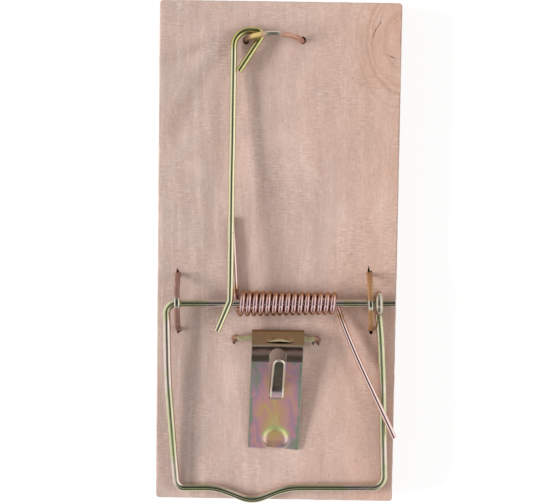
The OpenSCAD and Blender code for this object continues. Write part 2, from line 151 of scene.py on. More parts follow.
class PedalSettings(bpy.types.PropertyGroup):
    sheet: length("Sheet", "Thickness of the pedal's sheet", 0.4, 0.2, 0.6)
    slot_width: length("Slot width", "Width of the slot round the bait tongue", 3.12, 2.4, 4.0)
    tongue_width: length("Tongue width", "Width of the bait tongue at its root", 2.5, 1.4, 2.8)
    dimple_rise: length("Dimple rise", "Height of the pressed dimple", 0.42, 0.1, 0.8)
    mauve: colour("Mauve", "Plating colour between the edges and the middle", (0.66, 0.36, 0.47))
    green: colour("Green", "Plating colour along the edges", (0.34, 0.40, 0.28))
    gold: colour("Gold", "Plating colour in the middle", (0.78, 0.48, 0.27))


class StageSettings(bpy.types.PropertyGroup):
    side_light: number("Side light", "Power of the low lamp on the left", 10.6, unit="POWER")
    fill_light: number("Fill light", "Power of the low lamp on the right", 2.2, unit="POWER")
    room_light: number("Room light", "Strength of the light from all round", 0.465)
    strip_shade: number("Strip shade", "How bright the strip overhead is", 0.05, 0.0, 1.0)
    strip_offset: number("Strip offset", "How far the strip overhead is to the left", 0.03, -0.5, 0.5)


# ---------------------------------------------------------------- shapes


def rounded(corners, radii, step=6.0):
    """Points along a line through the corners, with each corner turned in an arc of its radius."""
    corners = [Vector(corner) for corner in corners]
    line = [corners[0]]
    for before, here, after, radius in zip(corners, corners[1:], corners[2:], radii[1:]):
        back, ahead = (here - before).normalized(), (after - here).normalized()
        turn = back.angle(ahead, 0.0)
        if turn < 1e-4 or radius <= 0:
            line.append(here)
            continue
        reach = radius * math.tan(turn / 2)
        start = here - back * reach
        inward = (ahead - back * back.dot(ahead)).normalized()
        centre = start + inward * radius
        count = max(3, math.ceil(math.degrees(turn) / step))
        for part in range(count + 1):
            angle = turn * part / count
            line.append(centre - inward * radius * math.cos(angle) + back * radius * math.sin(angle))
    line.append(corners[-1])
    return line


def evened(line, spacing):
    """The same line with no two points further apart than spacing."""
    out = [line[0]]
    for start, end in zip(line, line[1:]):
        count = max(1, math.ceil((end - start).length / spacing))
        out += [start.lerp(end, part / count) for part in range(1, count + 1)]
    return out


def smooth_step(value):
    value = min(1.0, max(0.0, value))
    return value * value * (3 - 2 * value)


def wobble(line, amount, scale, seed):
    """Hand-bent wire is never quite straight: moves each point a little, smoothly along the line."""
    # without a seed, noise_vector starts from the clock
    vector_noise.seed_set(WOBBLE_SEED)
    out = []
    run = 0.0
    for index, point in enumerate(line):
        if index:
            run += (point - line[index - 1]).length
        shift = vector_noise.noise_vector(Vector((run / scale, seed, 0.0)))
        out.append(point + Vector((shift.x, shift.y, shift.z * 0.3)) * amount)
    return out


def circle_section(radius, sides):
    turns = [2 * math.pi * side / sides for side in range(sides)]
    return [(radius * math.cos(turn), radius * math.sin(turn)) for turn in turns]


def rounded_outline(width, depth, radius, per_corner):
    """Points round a rectangle whose corners are arcs of so many parts."""
    out = []
    for across, up, start in ((1, 1, 0), (-1, 1, 90), (-1, -1, 180), (1, -1, 270)):
        for part in range(per_corner + 1):
            angle = math.radians(start + 90 * part / per_corner)
            centre_x, centre_y = across * (width / 2 - radius), up * (depth / 2 - radius)
            out.append((centre_x + radius * math.cos(angle), centre_y + radius * math.sin(angle)))
    return out


def skinned(mesh, rings):
    """Closes rings of vertices into a solid with smooth sides, and gives the sides in order."""
    sides = []
    for lower, upper in zip(rings, rings[1:]):
        for part in range(len(lower)):
            after = (part + 1) % len(lower)
            sides.append(mesh.faces.new((lower[part], lower[after], upper[after], upper[part])))
            sides[-1].smooth = True
    mesh.faces.new(list(reversed(rings[0])))
    mesh.faces.new(rings[-1])
    return sides


def made_from(mesh, name):
    """Turns a bmesh into an object in the scene."""
    data = bpy.data.meshes.new(name)
    mesh.to_mesh(data)
    mesh.free()
    made = bpy.data.objects.new(name, data)
    bpy.context.scene.collection.objects.link(made)
    return made


def swept(name, line, section, first_side, trim=0.12):
    """A wire: the section carried along the line, with softened cut ends."""
    line = [Vector(point) for point in line]
    cut = trim * max(math.hypot(u, v) for u, v in section)
    first, last = (line[1] - line[0]).normalized(), (line[-1] - line[-2]).normalized()
    # each end is rounded over, with one more full ring close behind that keeps the straight part's shading level
    steps = ((0.0, 1 - trim), (0.4, 1 - trim * 0.35), (1.0, 1.0), (1.6, 1.0))
    starts = [line[0] + first * cut * part for part, _ in steps]
    ends = [line[-1] - last * cut * part for part, _ in reversed(steps)]
    shrink = [scale for _, scale in steps]
    shrink += [1.0] * (len(line) - 2) + shrink[::-1]
    line = starts + line[1:-1] + ends
    count = len(section)
    mesh = bmesh.new()
    layer = mesh.loops.layers.uv.new("Wire")
    side = Vector(first_side)
    rings, runs = [], []
    run = 0.0
    for index, (point, scale) in enumerate(zip(line, shrink)):
        before, after = line[max(index - 1, 0)], line[min(index + 1, len(line) - 1)]
        heading = ((point - before).normalized() + (after - point).normalized()).normalized()
        side = (side - heading * side.dot(heading)).normalized()
        up = heading.cross(side)
        run += (point - before).length
        rings.append([mesh.verts.new(point + (side * u + up * v) * scale) for u, v in section])
        runs.append(run)
    for order, face in enumerate(skinned(mesh, rings)):
        index, part = divmod(order, count)
        for loop, (around, along) in zip(face.loops, ((0, 0), (1, 0), (1, 1), (0, 1))):
            loop[layer].uv = ((part + around) / count, runs[index + along] * 100)
    bmesh.ops.recalc_face_normals(mesh, faces=mesh.faces)
    return made_from(mesh, name)


def evaluated_copy(made):
    """Applies the object's modifiers to its mesh."""
    bpy.context.view_layer.update()
    graph = bpy.context.evaluated_depsgraph_get()
    data = bpy.data.meshes.new_from_object(made.evaluated_get(graph))
    made.modifiers.clear()
    made.data = data
    return made


def axle_place():
    """Turns the axle's own frame into the trap's: X along the axle, origin on it at the middle of the board."""
    along = -Vector(JOINTS["hammer_swing"]["axis"])
    return Matrix.Translation(AXLE) @ Matrix.Rotation(math.atan2(along.y, along.x), 4, "Z")


def finished(made, body, material, slot_name, *nodes):
    """Gives a piece its material and ties it to the frame."""
    made.data.materials.clear()
    made.data.materials.append(material)
    if nodes:
        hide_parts(*nodes)
    if body:
        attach(made, body)
    return made


# ---------------------------------------------------------------- materials


class Field:
    """A value in a node tree, which sums, products and comparisons carry on in Math nodes."""

    def __init__(self, shader, socket):
        self.shader, self.socket = shader, socket

    def math(self, kind, *others):
        """A Math node with this value first."""
        return self.shader.math(kind, self, *others)

    def __rsub__(self, other):
        return self.shader.math("SUBTRACT", other, self)

    __add__ = partialmethod(math, "ADD")
    __sub__ = partialmethod(math, "SUBTRACT")
    __mul__ = partialmethod(math, "MULTIPLY")
    __truediv__ = partialmethod(math, "DIVIDE")
    __lt__ = partialmethod(math, "LESS_THAN")
    __gt__ = partialmethod(math, "GREATER_THAN")
    __abs__ = partialmethod(math, "ABSOLUTE")
    max = partialmethod(math, "MAXIMUM")

    def ramp(self, *stops, smooth=False):
        """Stops are (place, grey or colour), in rising order; a ramp that runs past 1 is scaled to fit."""
        last = stops[-1][0]
        if last > 1.0:
            return (self / last).ramp(*((place / last, shade) for place, shade in stops), smooth=smooth)
        node = self.shader.node("ValToRGB", {0: self})
        node.color_ramp.interpolation = "EASE" if smooth else "LINEAR"
        elements = node.color_ramp.elements
        elements[0].position, elements[-1].position = stops[0][0], last
        for place, _ in stops[1:-1]:
            elements.new(place)
        for element, (_, shade) in zip(elements, stops):
            element.color = (*((shade,) * 3 if isinstance(shade, float) else shade), 1.0)
        return Field(self.shader, node.outputs[0])


class Shader:
    """Short ways to add nodes to one material or world."""

    def __init__(self, owner):
        owner.use_nodes = True
        self.owner = owner
        self.nodes, self.links = owner.node_tree.nodes, owner.node_tree.links
        self.nodes.clear()

    def node(self, kind, inputs, **values):
        """Adds a node, sets its values, and feeds its sockets with numbers, colours and fields."""
        node = self.nodes.new("ShaderNode" + kind)
        for key, value in values.items():
            setattr(node, key, value)
        for socket, value in inputs.items():
            target = node.inputs[socket]
            if isinstance(value, Field):
                self.links.new(value.socket, target)
            else:
                target.default_value = (*value, 1.0) if target.type == "RGBA" else value
        return node

    def field(self, kind, inputs=None, output=0, **values):
        """Adds a node, and gives one of its outputs."""
        return Field(self, self.node(kind, inputs or {}, **values).outputs[output])

    def math(self, kind, *values):
        return self.field("Math", dict(enumerate(values)), operation=kind)

    def vector(self, kind, *values):
        output = "Value" if kind == "LENGTH" else 0
        return self.field("VectorMath", dict(enumerate(values)), output, operation=kind)

    def parts(self, where):
        return [Field(self, output) for output in self.node("SeparateXYZ", {0: where}).outputs]

    def stretched(self, where, size):
        """Coordinates divided by a size along each axis."""
        return self.vector("MULTIPLY", where, tuple(1.0 / part for part in size))

    def uv(self, name):
        return self.field("UVMap", uv_map=name)

    def mix(self, amount, first, second):
        return self.field("Mix", {0: amount, 6: first, 7: second}, 2, data_type="RGBA")

    def layered(self, shade, *layers):
        """Lays tints over a colour, one after another, each by its own amount."""
        for amount, tint in layers:
            shade = self.mix(amount, shade, tint)
        return shade

    def noise(self, where, size, detail=2.0, rough=0.5, distortion=0.0):
        """Noise of a size along each axis, or of one scale along them all."""
        if isinstance(size, tuple):
            where, size = self.stretched(where, size), 1.0
        inputs = {"Vector": where, "Scale": size, "Detail": detail, "Roughness": rough, "Distortion": distortion}
        return self.field("TexNoise", inputs, "Fac")

    def line_noise(self, run, detail):
        """Noise along a single run, in unit steps."""
        return self.field("TexNoise", {"W": run, "Scale": 1.0, "Detail": detail}, "Fac", noise_dimensions="1D")

    def bump(self, height, strength, distance_mm, under=None):
        inputs = {"Height": height, "Strength": strength, "Distance": distance_mm * MM}
        if under:
            inputs["Normal"] = under
        return self.field("Bump", inputs)

    def surface(self, shade, rough, normal, kind, value):
        """Ends the material with its surface, on which one more kind of socket is set, and gives the material."""
        inputs = {"Base Color": shade, "Roughness": rough, "Normal": normal, kind: value}
        self.node("OutputMaterial", {0: self.field("BsdfPrincipled", inputs)})
        return self.owner


def started(name):
    """A new material's shader, and where a point is on the resting trap, in millimetres: whole, X, Y and Z."""
    s = Shader(bpy.data.materials.new(name))
    inputs = {0: s.field("TexCoord", output="Object"), "Scale": 1 / MM}
    where = s.field("VectorMath", inputs, operation="SCALE")
    return s, where, *s.parts(where)


def planed_wood(settings):
    """Planed hardwood with its grain along the board: rings, fibres, pores, ray flecks and a knot."""
    s, where, x, y, z = started("planed wood")
    # the grain swings round a knot near one corner
    to_knot = s.vector("SUBTRACT", where, KNOT)
    knot_reach = s.vector("LENGTH", s.stretched(to_knot, (1.0, 1.35, 1.2)))
    knot_near = (knot_reach / 14.0).ramp((0.0, 1.0), (0.45, 0.55), (1.0, 0.0), smooth=True)
    bend = (s.noise(where, (26.0, 60.0, 26.0)) - 0.5) * 7.0
    grain = s.field("CombineXYZ", {0: x + bend - knot_near * 5.0, 1: y, 2: z})
    # growth rings about a pith far below the board
    pith = s.vector("SUBTRACT", grain, (-31.0, 0.0, -46.0))
    ring_run = s.vector("LENGTH", s.vector("MULTIPLY", pith, (1.0, 0.012, 1.0)))
    rings = s.line_noise(ring_run * 0.62, 3.0).ramp((0.30, 0.0), (0.70, 1.0), smooth=True)
    # base colour from grey to tan across the board
    drift = s.noise(where, (15.0, 30.0, 15.0))
    base = (x / BOARD_WIDTH + (drift - 0.5) * 0.6 + 0.5).ramp(
        (0.0, settings.grey_wood),
        (0.36, settings.pale_wood),
        (0.66, settings.pale_wood),
        (0.95, settings.tan_wood),
    )
    # two dark bands of figure sweep down to the left edge
    clouds = s.noise(where, (6.0, 14.0, 6.0), 3.0, 0.6)
    warped_x = x + (clouds - 0.5) * 3.2
    fall = y - 40.85
    curve = fall * 0.99 - 9.77 + fall * fall * 0.021
    first_band = abs(warped_x - curve).ramp((0.3, 1.0), (2.9, 0.0), smooth=True)
    line = (y - 41.99) * 2.69 - 10.36
    second_band = (abs(warped_x - line) / 2.4).ramp((0.3, 0.8), (2.0, 0.0), smooth=True)
    leftward = x / -HALF_X
    upper_left = leftward.ramp((0.10, 0.0), (0.40, 1.0)) * (y / HALF_Y).ramp((0.36, 0.0), (0.52, 1.0))
    bands = first_band.max(second_band) * upper_left
    # greyer blotches and stronger streaks down the left side
    blotches = s.noise(where, (4.5, 9.0, 6.0), 3.0, 0.6, 0.5).ramp((0.46, 0.0), (0.64, 0.42), smooth=True)
    blotches *= leftward.ramp((0.15, 0.25), (0.65, 1.0))
    streaked = leftward.ramp((0.0, 0.40), (0.60, 1.0))
    streaks = s.noise(grain, (1.5, 34.0, 1.5), 3.0, 0.55)
    fibres = s.noise(grain, (0.42, 5.0, 0.42), 3.0, 0.6)
    hairs = s.noise(grain, (0.17, 1.5, 0.17), 2.0, 0.6)
    speckle = s.noise(where, 2.6, 2.0, 0.7)
    # ray flecks lie across the grain, in patches, and a few short pores are dark
    flecks = s.noise(where, (1.7, 0.24, 0.5), 1.0, 0.4)
    patches = s.noise(where, (7.0, 10.0, 8.0), 1.0).ramp((0.44, 0.15), (0.60, 1.0))
    inputs = {"Vector": s.stretched(grain, (0.55, 2.6, 0.55)), "Scale": 1.0}
    pores = s.field("TexVoronoi", inputs, "Distance", feature="F1").ramp((0.06, 1.0), (0.18, 0.0))
    pores *= s.noise(where, (3.0, 6.0, 3.0), 1.0).ramp((0.50, 0.0), (0.60, 0.6))
    # a warm stain round the knot, with closed rings
    stain = s.noise(where, (5.0, 6.0, 5.0))
    rounds = s.line_noise(knot_reach * 0.9 + stain * 1.6, 2.0).ramp((0.48, 0.0), (0.66, 0.80), smooth=True)
    # painted shade inside the leg holes, splits and cracks, and a little dust along the outer edges
    past_edge = (abs(x) - BOARD_WIDTH / 2).max(abs(y) - BOARD_LENGTH / 2)
    deep = (BOARD_TOP - z).ramp((0.04, 0.0), (0.5, 0.93)) * (past_edge < -0.6)
    rim = (past_edge + 1.2).ramp((0.1, 0.0), (1.0, 0.35)) * s.noise(where, (1.2, 1.2, 1.2))
    shade = s.layered(
        base,
        (clouds.ramp((0.34, 0.46), (0.52, 0.0)), (0.50, 0.345, 0.285)),
        (clouds.ramp((0.52, 0.0), (0.72, 0.45)), (0.84, 0.64, 0.55)),
        (rings * 0.20, (0.52, 0.35, 0.29)),
        (bands * 0.80, (0.44, 0.315, 0.265)),
        (blotches, (0.48, 0.40, 0.375)),
        (streaked * streaks.ramp((0.34, 0.22), (0.48, 0.0)), (0.88, 0.69, 0.60)),
        (streaked * streaks.ramp((0.52, 0.0), (0.70, 0.26)), (0.50, 0.36, 0.305)),
        (fibres.ramp((0.30, 0.12), (0.46, 0.0)), (0.92, 0.73, 0.64)),
        (fibres.ramp((0.54, 0.0), (0.74, 0.20)), (0.44, 0.31, 0.26)),
        (hairs.ramp((0.28, 0.13), (0.47, 0.0)), (0.95, 0.77, 0.68)),
        (hairs.ramp((0.53, 0.0), (0.74, 0.19)), (0.41, 0.285, 0.235)),
        (speckle.ramp((0.30, 0.20), (0.47, 0.0)), (0.92, 0.75, 0.66)),
        (speckle.ramp((0.53, 0.0), (0.72, 0.24)), (0.43, 0.31, 0.26)),
        (flecks.ramp((0.54, 0.0), (0.70, 0.34)) * patches, (0.47, 0.30, 0.235)),
        (flecks.ramp((0.30, 0.28), (0.45, 0.0)) * patches, (0.90, 0.70, 0.61)),
        (pores, (0.30, 0.20, 0.155)),
        (rounds * knot_near, (0.43, 0.26, 0.185)),
        (knot_near * stain.ramp((0.3, 0.20), (0.7, 0.75)), (0.60, 0.325, 0.22)),
        (deep, (0.045, 0.026, 0.02)),
        (rim, (0.68, 0.50, 0.42)),
    )
    normal = s.bump(hairs * 0.6 + fibres * 0.7, 0.35, 0.05, s.bump(s.noise(where, 1.4), 0.25, 0.05))
    return s.surface(shade, fibres.ramp((0.3, 0.60), (0.7, 0.78)), normal, "Specular IOR Level", 0.32)


def drawn(s, where, shade, dark, darker):
    """Lays draw lines and specks over a wire's shade; gives the shade, the lines' height and the normal."""
    lines = s.noise(s.vector("MULTIPLY", s.uv("Wire"), (9.0, 0.25, 1.0)), 1.0)
    specks = s.noise(where, 2.6, 2.0, 0.7)
    shade = s.layered(
        shade, (lines.ramp((0.52, 0.0), (0.80, 0.30)), dark), (specks.ramp((0.60, 0.0), (0.76, 0.45)), darker)
    )
    return shade, lines - 0.5, s.bump(lines, 0.03, 0.02, s.bump(s.noise(where, 0.5, 1.0), 0.04, 0.06))


def hammer_eye(x, y):
    """How far a point belongs to the hammer's eye and the axle's end inside it."""
    return (abs(y - AXLE_Y) / 5.0).ramp((0.52, 0.70), (0.62, 0.0)) * (x / HALF_X).ramp((0.74, 0.0), (0.78, 1.0))


def bar_eye(x, y):
    """How far a point belongs to the locking bar's eye: its bend and its return leg."""
    bend = (y / HALF_Y).ramp((0.79, 0.0), (0.84, 0.85), smooth=True)
    return bend.max((x > -8.3) * (y > 30.0) * 0.75)


def plated_wire(name, top, side, flush, dark, eye, eye_tint, roughness=0.10, right_arm=0.0):
    """Plating on drawn wire: a darker tone along its top, which is painted reflection, and a paler one down its
    sides, which is painted highlight, a flush in patches, a tint on its eye.
    """
    s, where, x, y, _ = started(name)
    around = s.parts(s.uv("Wire"))[0]
    clouds = s.noise(where, 0.42, 3.0, 0.6, 0.4)
    upward = abs(around * 2.0 - 1.0) + (clouds - 0.5) * 0.5
    # the darker top is painted reflection and the paler sides are painted highlight, both laid over the plating's
    # colour
    shade = s.layered(
        s.mix(upward.ramp((0.56, 0.0), (0.86, 1.0), smooth=True), side, top),
        (s.noise(where, 0.16, 2.0, 0.55).ramp((0.44, 0.0), (0.62, 0.8), smooth=True), flush),
        (eye(x, y), eye_tint),
    )
    shade, lines, normal = drawn(s, where, shade, dark, dark)
    # the right arm, where the spring's leg has rubbed, is duller by right_arm
    on_arm = (x / HALF_X).ramp((0.68, 0.0), (0.74, right_arm)) * (y < AXLE_Y - 2.0)
    rough = lines * 0.06 + clouds.ramp((0.3, roughness), (0.7, roughness + 0.05)) + on_arm
    return s.surface(shade, rough, normal, "Metallic", 1.0)


def spring_plating(main):
    """Coppery plating on the spring: mauve over the coil, brown painted shade down its sides, and pale rose on
    the legs.
    """
    s, where, _, y, _ = started("coppery plating")
    off = abs(y - AXLE_Y) + (s.noise(where, 0.45, 2.0, 0.6) - 0.5) * 1.1
    shade = (off / 8.0).ramp(
        (0.05, (0.68, 0.46, 0.47)),
        (0.16, main),
        # the brown on the coil's sides is painted shade
        (0.27, (0.47, 0.26, 0.14)),
        (0.36, (0.60, 0.38, 0.26)),
        (0.50, (0.80, 0.59, 0.55)),
    )
    shade, lines, normal = drawn(s, where, shade, (0.30, 0.18, 0.14), (0.28, 0.16, 0.12))
    return s.surface(shade, lines * 0.04 + 0.07, normal, "Metallic", 1.0)


def staple_plating(name, main, middle, reach_mm, shouldered=False):
    """Dull plating on a staple, worn bright and given a painted highlight within reach of its crown's middle.

    The crown of the shouldered staple lies along X, and of the others along Y.
    """
    s, where, x, y, _ = started(name)
    off = x - middle if shouldered else y - middle
    ragged = abs(off) + (s.noise(where, 1.5) - 0.5) * 0.9
    # the crown's paler colour is wear and painted highlight
    wear_and_highlight = (ragged / (reach_mm * 3.0)).ramp((0.16, 1.0), (0.42, 0.0), smooth=True)
    tone = s.noise(where, (0.9, 2.2, 1.2), 2.0, 0.6)
    dirt = s.noise(where, 1.9, 3.0, 0.65)
    layers = [
        (tone.ramp((0.35, 0.0), (0.65, 0.8)), [min(1.0, part * 1.3) for part in main]),
        (dirt.ramp((0.50, 0.0), (0.72, 0.6)), [part * 0.5 for part in main]),
    ]
    if shouldered:
        # its left shoulder is straw, a painted reflection of the locking bar's eye, and the leg below is dark,
        # painted shade under the eye
        leftward = (middle - x) / 6.0
        straw = leftward.ramp((0.30, 0.0), (0.40, 0.85), (0.66, 0.85), (0.78, 0.0))
        layers += [(straw, (0.66, 0.52, 0.18)), (leftward.ramp((0.66, 0.0), (0.80, 0.75)), (0.15, 0.095, 0.05))]
    shade = s.layered(main, *layers, (wear_and_highlight, (0.66, 0.62, 0.50)))
    rough = wear_and_highlight * -0.27 + dirt.ramp((0.3, 0.40), (0.7, 0.48))
    return s.surface(shade, rough, s.bump(dirt, 0.10, 0.04), "Metallic", wear_and_highlight * 0.45 + 0.55)


def pedal_staple_plating(main):
    """Straw plating that turns brown where the wire bends down into the wood."""
    s, where, x, _, _ = started("straw and brown plating")
    near_wood = (abs(x) / 10.0).ramp((0.70, 0.0), (0.79, 1.0), smooth=True)
    dirt = s.noise(where, 2.3, 3.0, 0.65)
    shade = s.layered(
        main,
        (s.noise(where, 0.9, 2.0, 0.6).ramp((0.35, 0.0), (0.65, 0.7)), (0.64, 0.58, 0.32)),
        (near_wood, (0.34, 0.18, 0.13)),
        (dirt.ramp((0.56, 0.0), (0.76, 0.45)), (0.16, 0.11, 0.07)),
    )
    rough, metal = near_wood * 0.16 + 0.26, near_wood * -0.20 + 0.70
    return s.surface(shade, rough, s.bump(dirt, 0.08, 0.04), "Metallic", metal)


def plated_sheet(settings):
    """Plated sheet: rainbow bands from the edges inwards, darker on the folded strip as painted reflection and
    brown over the pin as painted reflection of the wood.
    """
    s, where, x, y, _ = started("plated pedal sheet")
    off_mouth, past_mouth, _ = s.parts(s.uv("Sheet"))
    past_pin = y - PIN_Y
    # how far in from the plate's sides a point is, warped, and drifting on towards the free end
    warp = s.noise(where, (2.1, 3.6, 3.0), 2.0, 0.5, 0.9) - 0.5
    inward = 1.0 - abs(x - (past_pin * 0.031 + 0.40)) / 5.05
    outward = (PIN_Y - 4.7 - y) / 17.6
    grown = outward.ramp((0.0, 0.04), (0.28, 0.10), (0.55, 0.20), (0.80, 0.24), (0.93, 0.10), (1.0, 0.0))
    phase = grown + inward * outward.ramp((0.0, 0.52), (0.5, 0.70), (1.0, 0.62)) + warp * 1.25
    rainbow = phase.ramp(
        (0.04, (0.38, 0.40, 0.32)),
        (0.15, (0.52, 0.40, 0.45)),
        (0.30, settings.mauve),
        (0.50, (0.79, 0.42, 0.39)),
        (0.72, settings.gold),
        (0.90, (0.78, 0.56, 0.25)),
        (1.0, (0.76, 0.60, 0.28)),
    )
    edge = (inward + warp * 0.35).ramp((0.04, 1.0), (0.17, 0.0), smooth=True)
    # the pressed dimple's rim is yellow-green round a gold middle; the yellow-green, strongest on the rim's upper
    # side, is a painted highlight
    from_dimple = s.vector("SUBTRACT", where, (DIMPLE_X, DIMPLE_Y, 0.0))
    from_dimple = s.vector("LENGTH", s.vector("MULTIPLY", from_dimple, (1.0, 1.0, 0.0)))
    from_dimple = (from_dimple + warp * 0.9) / 5.0
    above = (y - DIMPLE_Y).ramp((0.0, 0.25), (0.9, 1.0))
    ring = from_dimple.ramp((0.26, 0.0), (0.40, 1.0), (0.50, 1.0), (0.62, 0.0), smooth=True)
    gold_middle = from_dimple.ramp((0.22, 0.75), (0.38, 0.0), smooth=True) * above
    # the strip between crease and ridge, in dark bands of painted reflection, and the facet over the pin, brown
    # as a painted reflection of the wood
    crease, ridge = -4.72, -1.42
    strip = (past_pin > crease) * (past_pin < ridge - 0.03)
    strip_run = (past_pin - crease) / 3.27 + (s.noise(where, (3.0, 1.0, 1.0), 1.0) - 0.5) * 0.22
    strip_dark_reflection = strip_run.ramp(
        (0.0, (0.15, 0.115, 0.10)),
        (0.10, (0.14, 0.105, 0.085)),
        (0.26, (0.10, 0.078, 0.052)),
        (0.40, (0.115, 0.088, 0.065)),
        (0.55, (0.33, 0.225, 0.19)),
        (0.68, (0.27, 0.17, 0.145)),
        (0.82, (0.075, 0.034, 0.022)),
        (0.97, (0.04, 0.02, 0.013)),
    )
    facet_wood_reflection = s.mix(s.noise(where, (4.0, 1.0, 1.0), 1.0), (0.47, 0.265, 0.125), (0.40, 0.23, 0.12))
    # painted highlights make the ridge and the catch's lip bright straw and the cut edges pale, and painted shade
    # makes the knuckle's inside dark
    ridge_highlight = abs(past_pin - ridge).ramp((0.10, 0.75), (0.26, 0.0), smooth=True)
    lens = ((off_mouth * 0.593).math("COSINE") * 0.86).max(0.02)
    lip = (past_mouth / lens).ramp((0.55, 1.0), (1.0, 0.0), smooth=True)
    lip = (abs(off_mouth) < 2.62) * (past_mouth > -0.02) * lip
    down_slot = (PIN_Y - 3.5 - y) / 8.6
    slot_side = abs(off_mouth + 0.36 + down_slot * 0.20)
    cut = (abs(slot_side - (down_slot * -0.17 + 1.60)) < 0.10) * (abs(past_pin + 7.4) < 4.4)
    cut = (cut * 0.6).max(inward.ramp((0.0, 0.75), (0.030, 0.0))) * (past_pin < -1.3)
    brush = s.noise(where, (0.12, 3.0, 0.6), 2.0, 0.6)
    shade = s.layered(
        rainbow,
        (edge * 0.85, settings.green),
        (ring * above * 0.85, (0.72, 0.76, 0.33)),
        (gold_middle, (0.72, 0.50, 0.19)),
        (outward.ramp((0.0, 0.30), (0.14, 0.22), (0.40, 0.0)), (0.20, 0.17, 0.17)),
        (strip, strip_dark_reflection),
        ((past_pin > -1.25) * 0.96, facet_wood_reflection),
        (ridge_highlight, (0.60, 0.50, 0.36)),
        (lip, (0.78, 0.70, 0.42)),
        (past_mouth.ramp((2.9, 0.0), (3.3, 0.95)), (0.03, 0.02, 0.014)),
        (cut, (0.68, 0.67, 0.52)),
        (brush.ramp((0.50, 0.0), (0.78, 0.16)), (0.24, 0.20, 0.18)),
    )
    beside_dimple = ring * (y - DIMPLE_Y).ramp((0.2, 1.0), (1.0, 0.0))
    rough = (brush - 0.5) * 0.08 + 0.42 - strip.max(beside_dimple) * 0.20
    normal = s.bump(brush, 0.06, 0.02, s.bump(s.noise(where, 0.45, 1.0), 0.10, 0.10))
    return s.surface(shade, rough, normal, "Metallic", 0.78)


def plated_tongue():
    """The bait tongue's plating: a dark mirror whose darkness is painted reflection, with a rosy root of painted
    reflection and pale rolled rims of painted highlight.
    """
    s, where, x, _, _ = started("plated tongue")
    run, inside, _ = s.parts(s.uv("Tongue"))
    cloudy = s.noise(where, (0.5, 3.0, 2.0), 2.0, 0.6, 0.5)
    low = (run + x * -0.25 + (cloudy - 0.5) * 0.9).ramp((0.0, 1.0), (1.6, 0.9), (2.5, 0.0), smooth=True)
    rim = inside.ramp((0.20, 1.0), (0.32, 0.0), smooth=True)
    # the dark body and rosy root are painted reflection, and the pale rims are painted highlight
    shade = s.layered(
        s.mix(cloudy.ramp((0.35, 0.0), (0.65, 1.0)), (0.24, 0.20, 0.15), (0.16, 0.13, 0.10)),
        (low, s.mix(run.ramp((0.5, 0.0), (1.4, 1.0)), (0.60, 0.38, 0.42), (0.42, 0.34, 0.36))),
        (rim, (0.74, 0.66, 0.54)),
    )
    return s.surface(shade, rim * 0.22 + 0.13, s.bump(cloudy, 0.06, 0.05), "Metallic", 0.92)


# ---------------------------------------------------------------- pieces


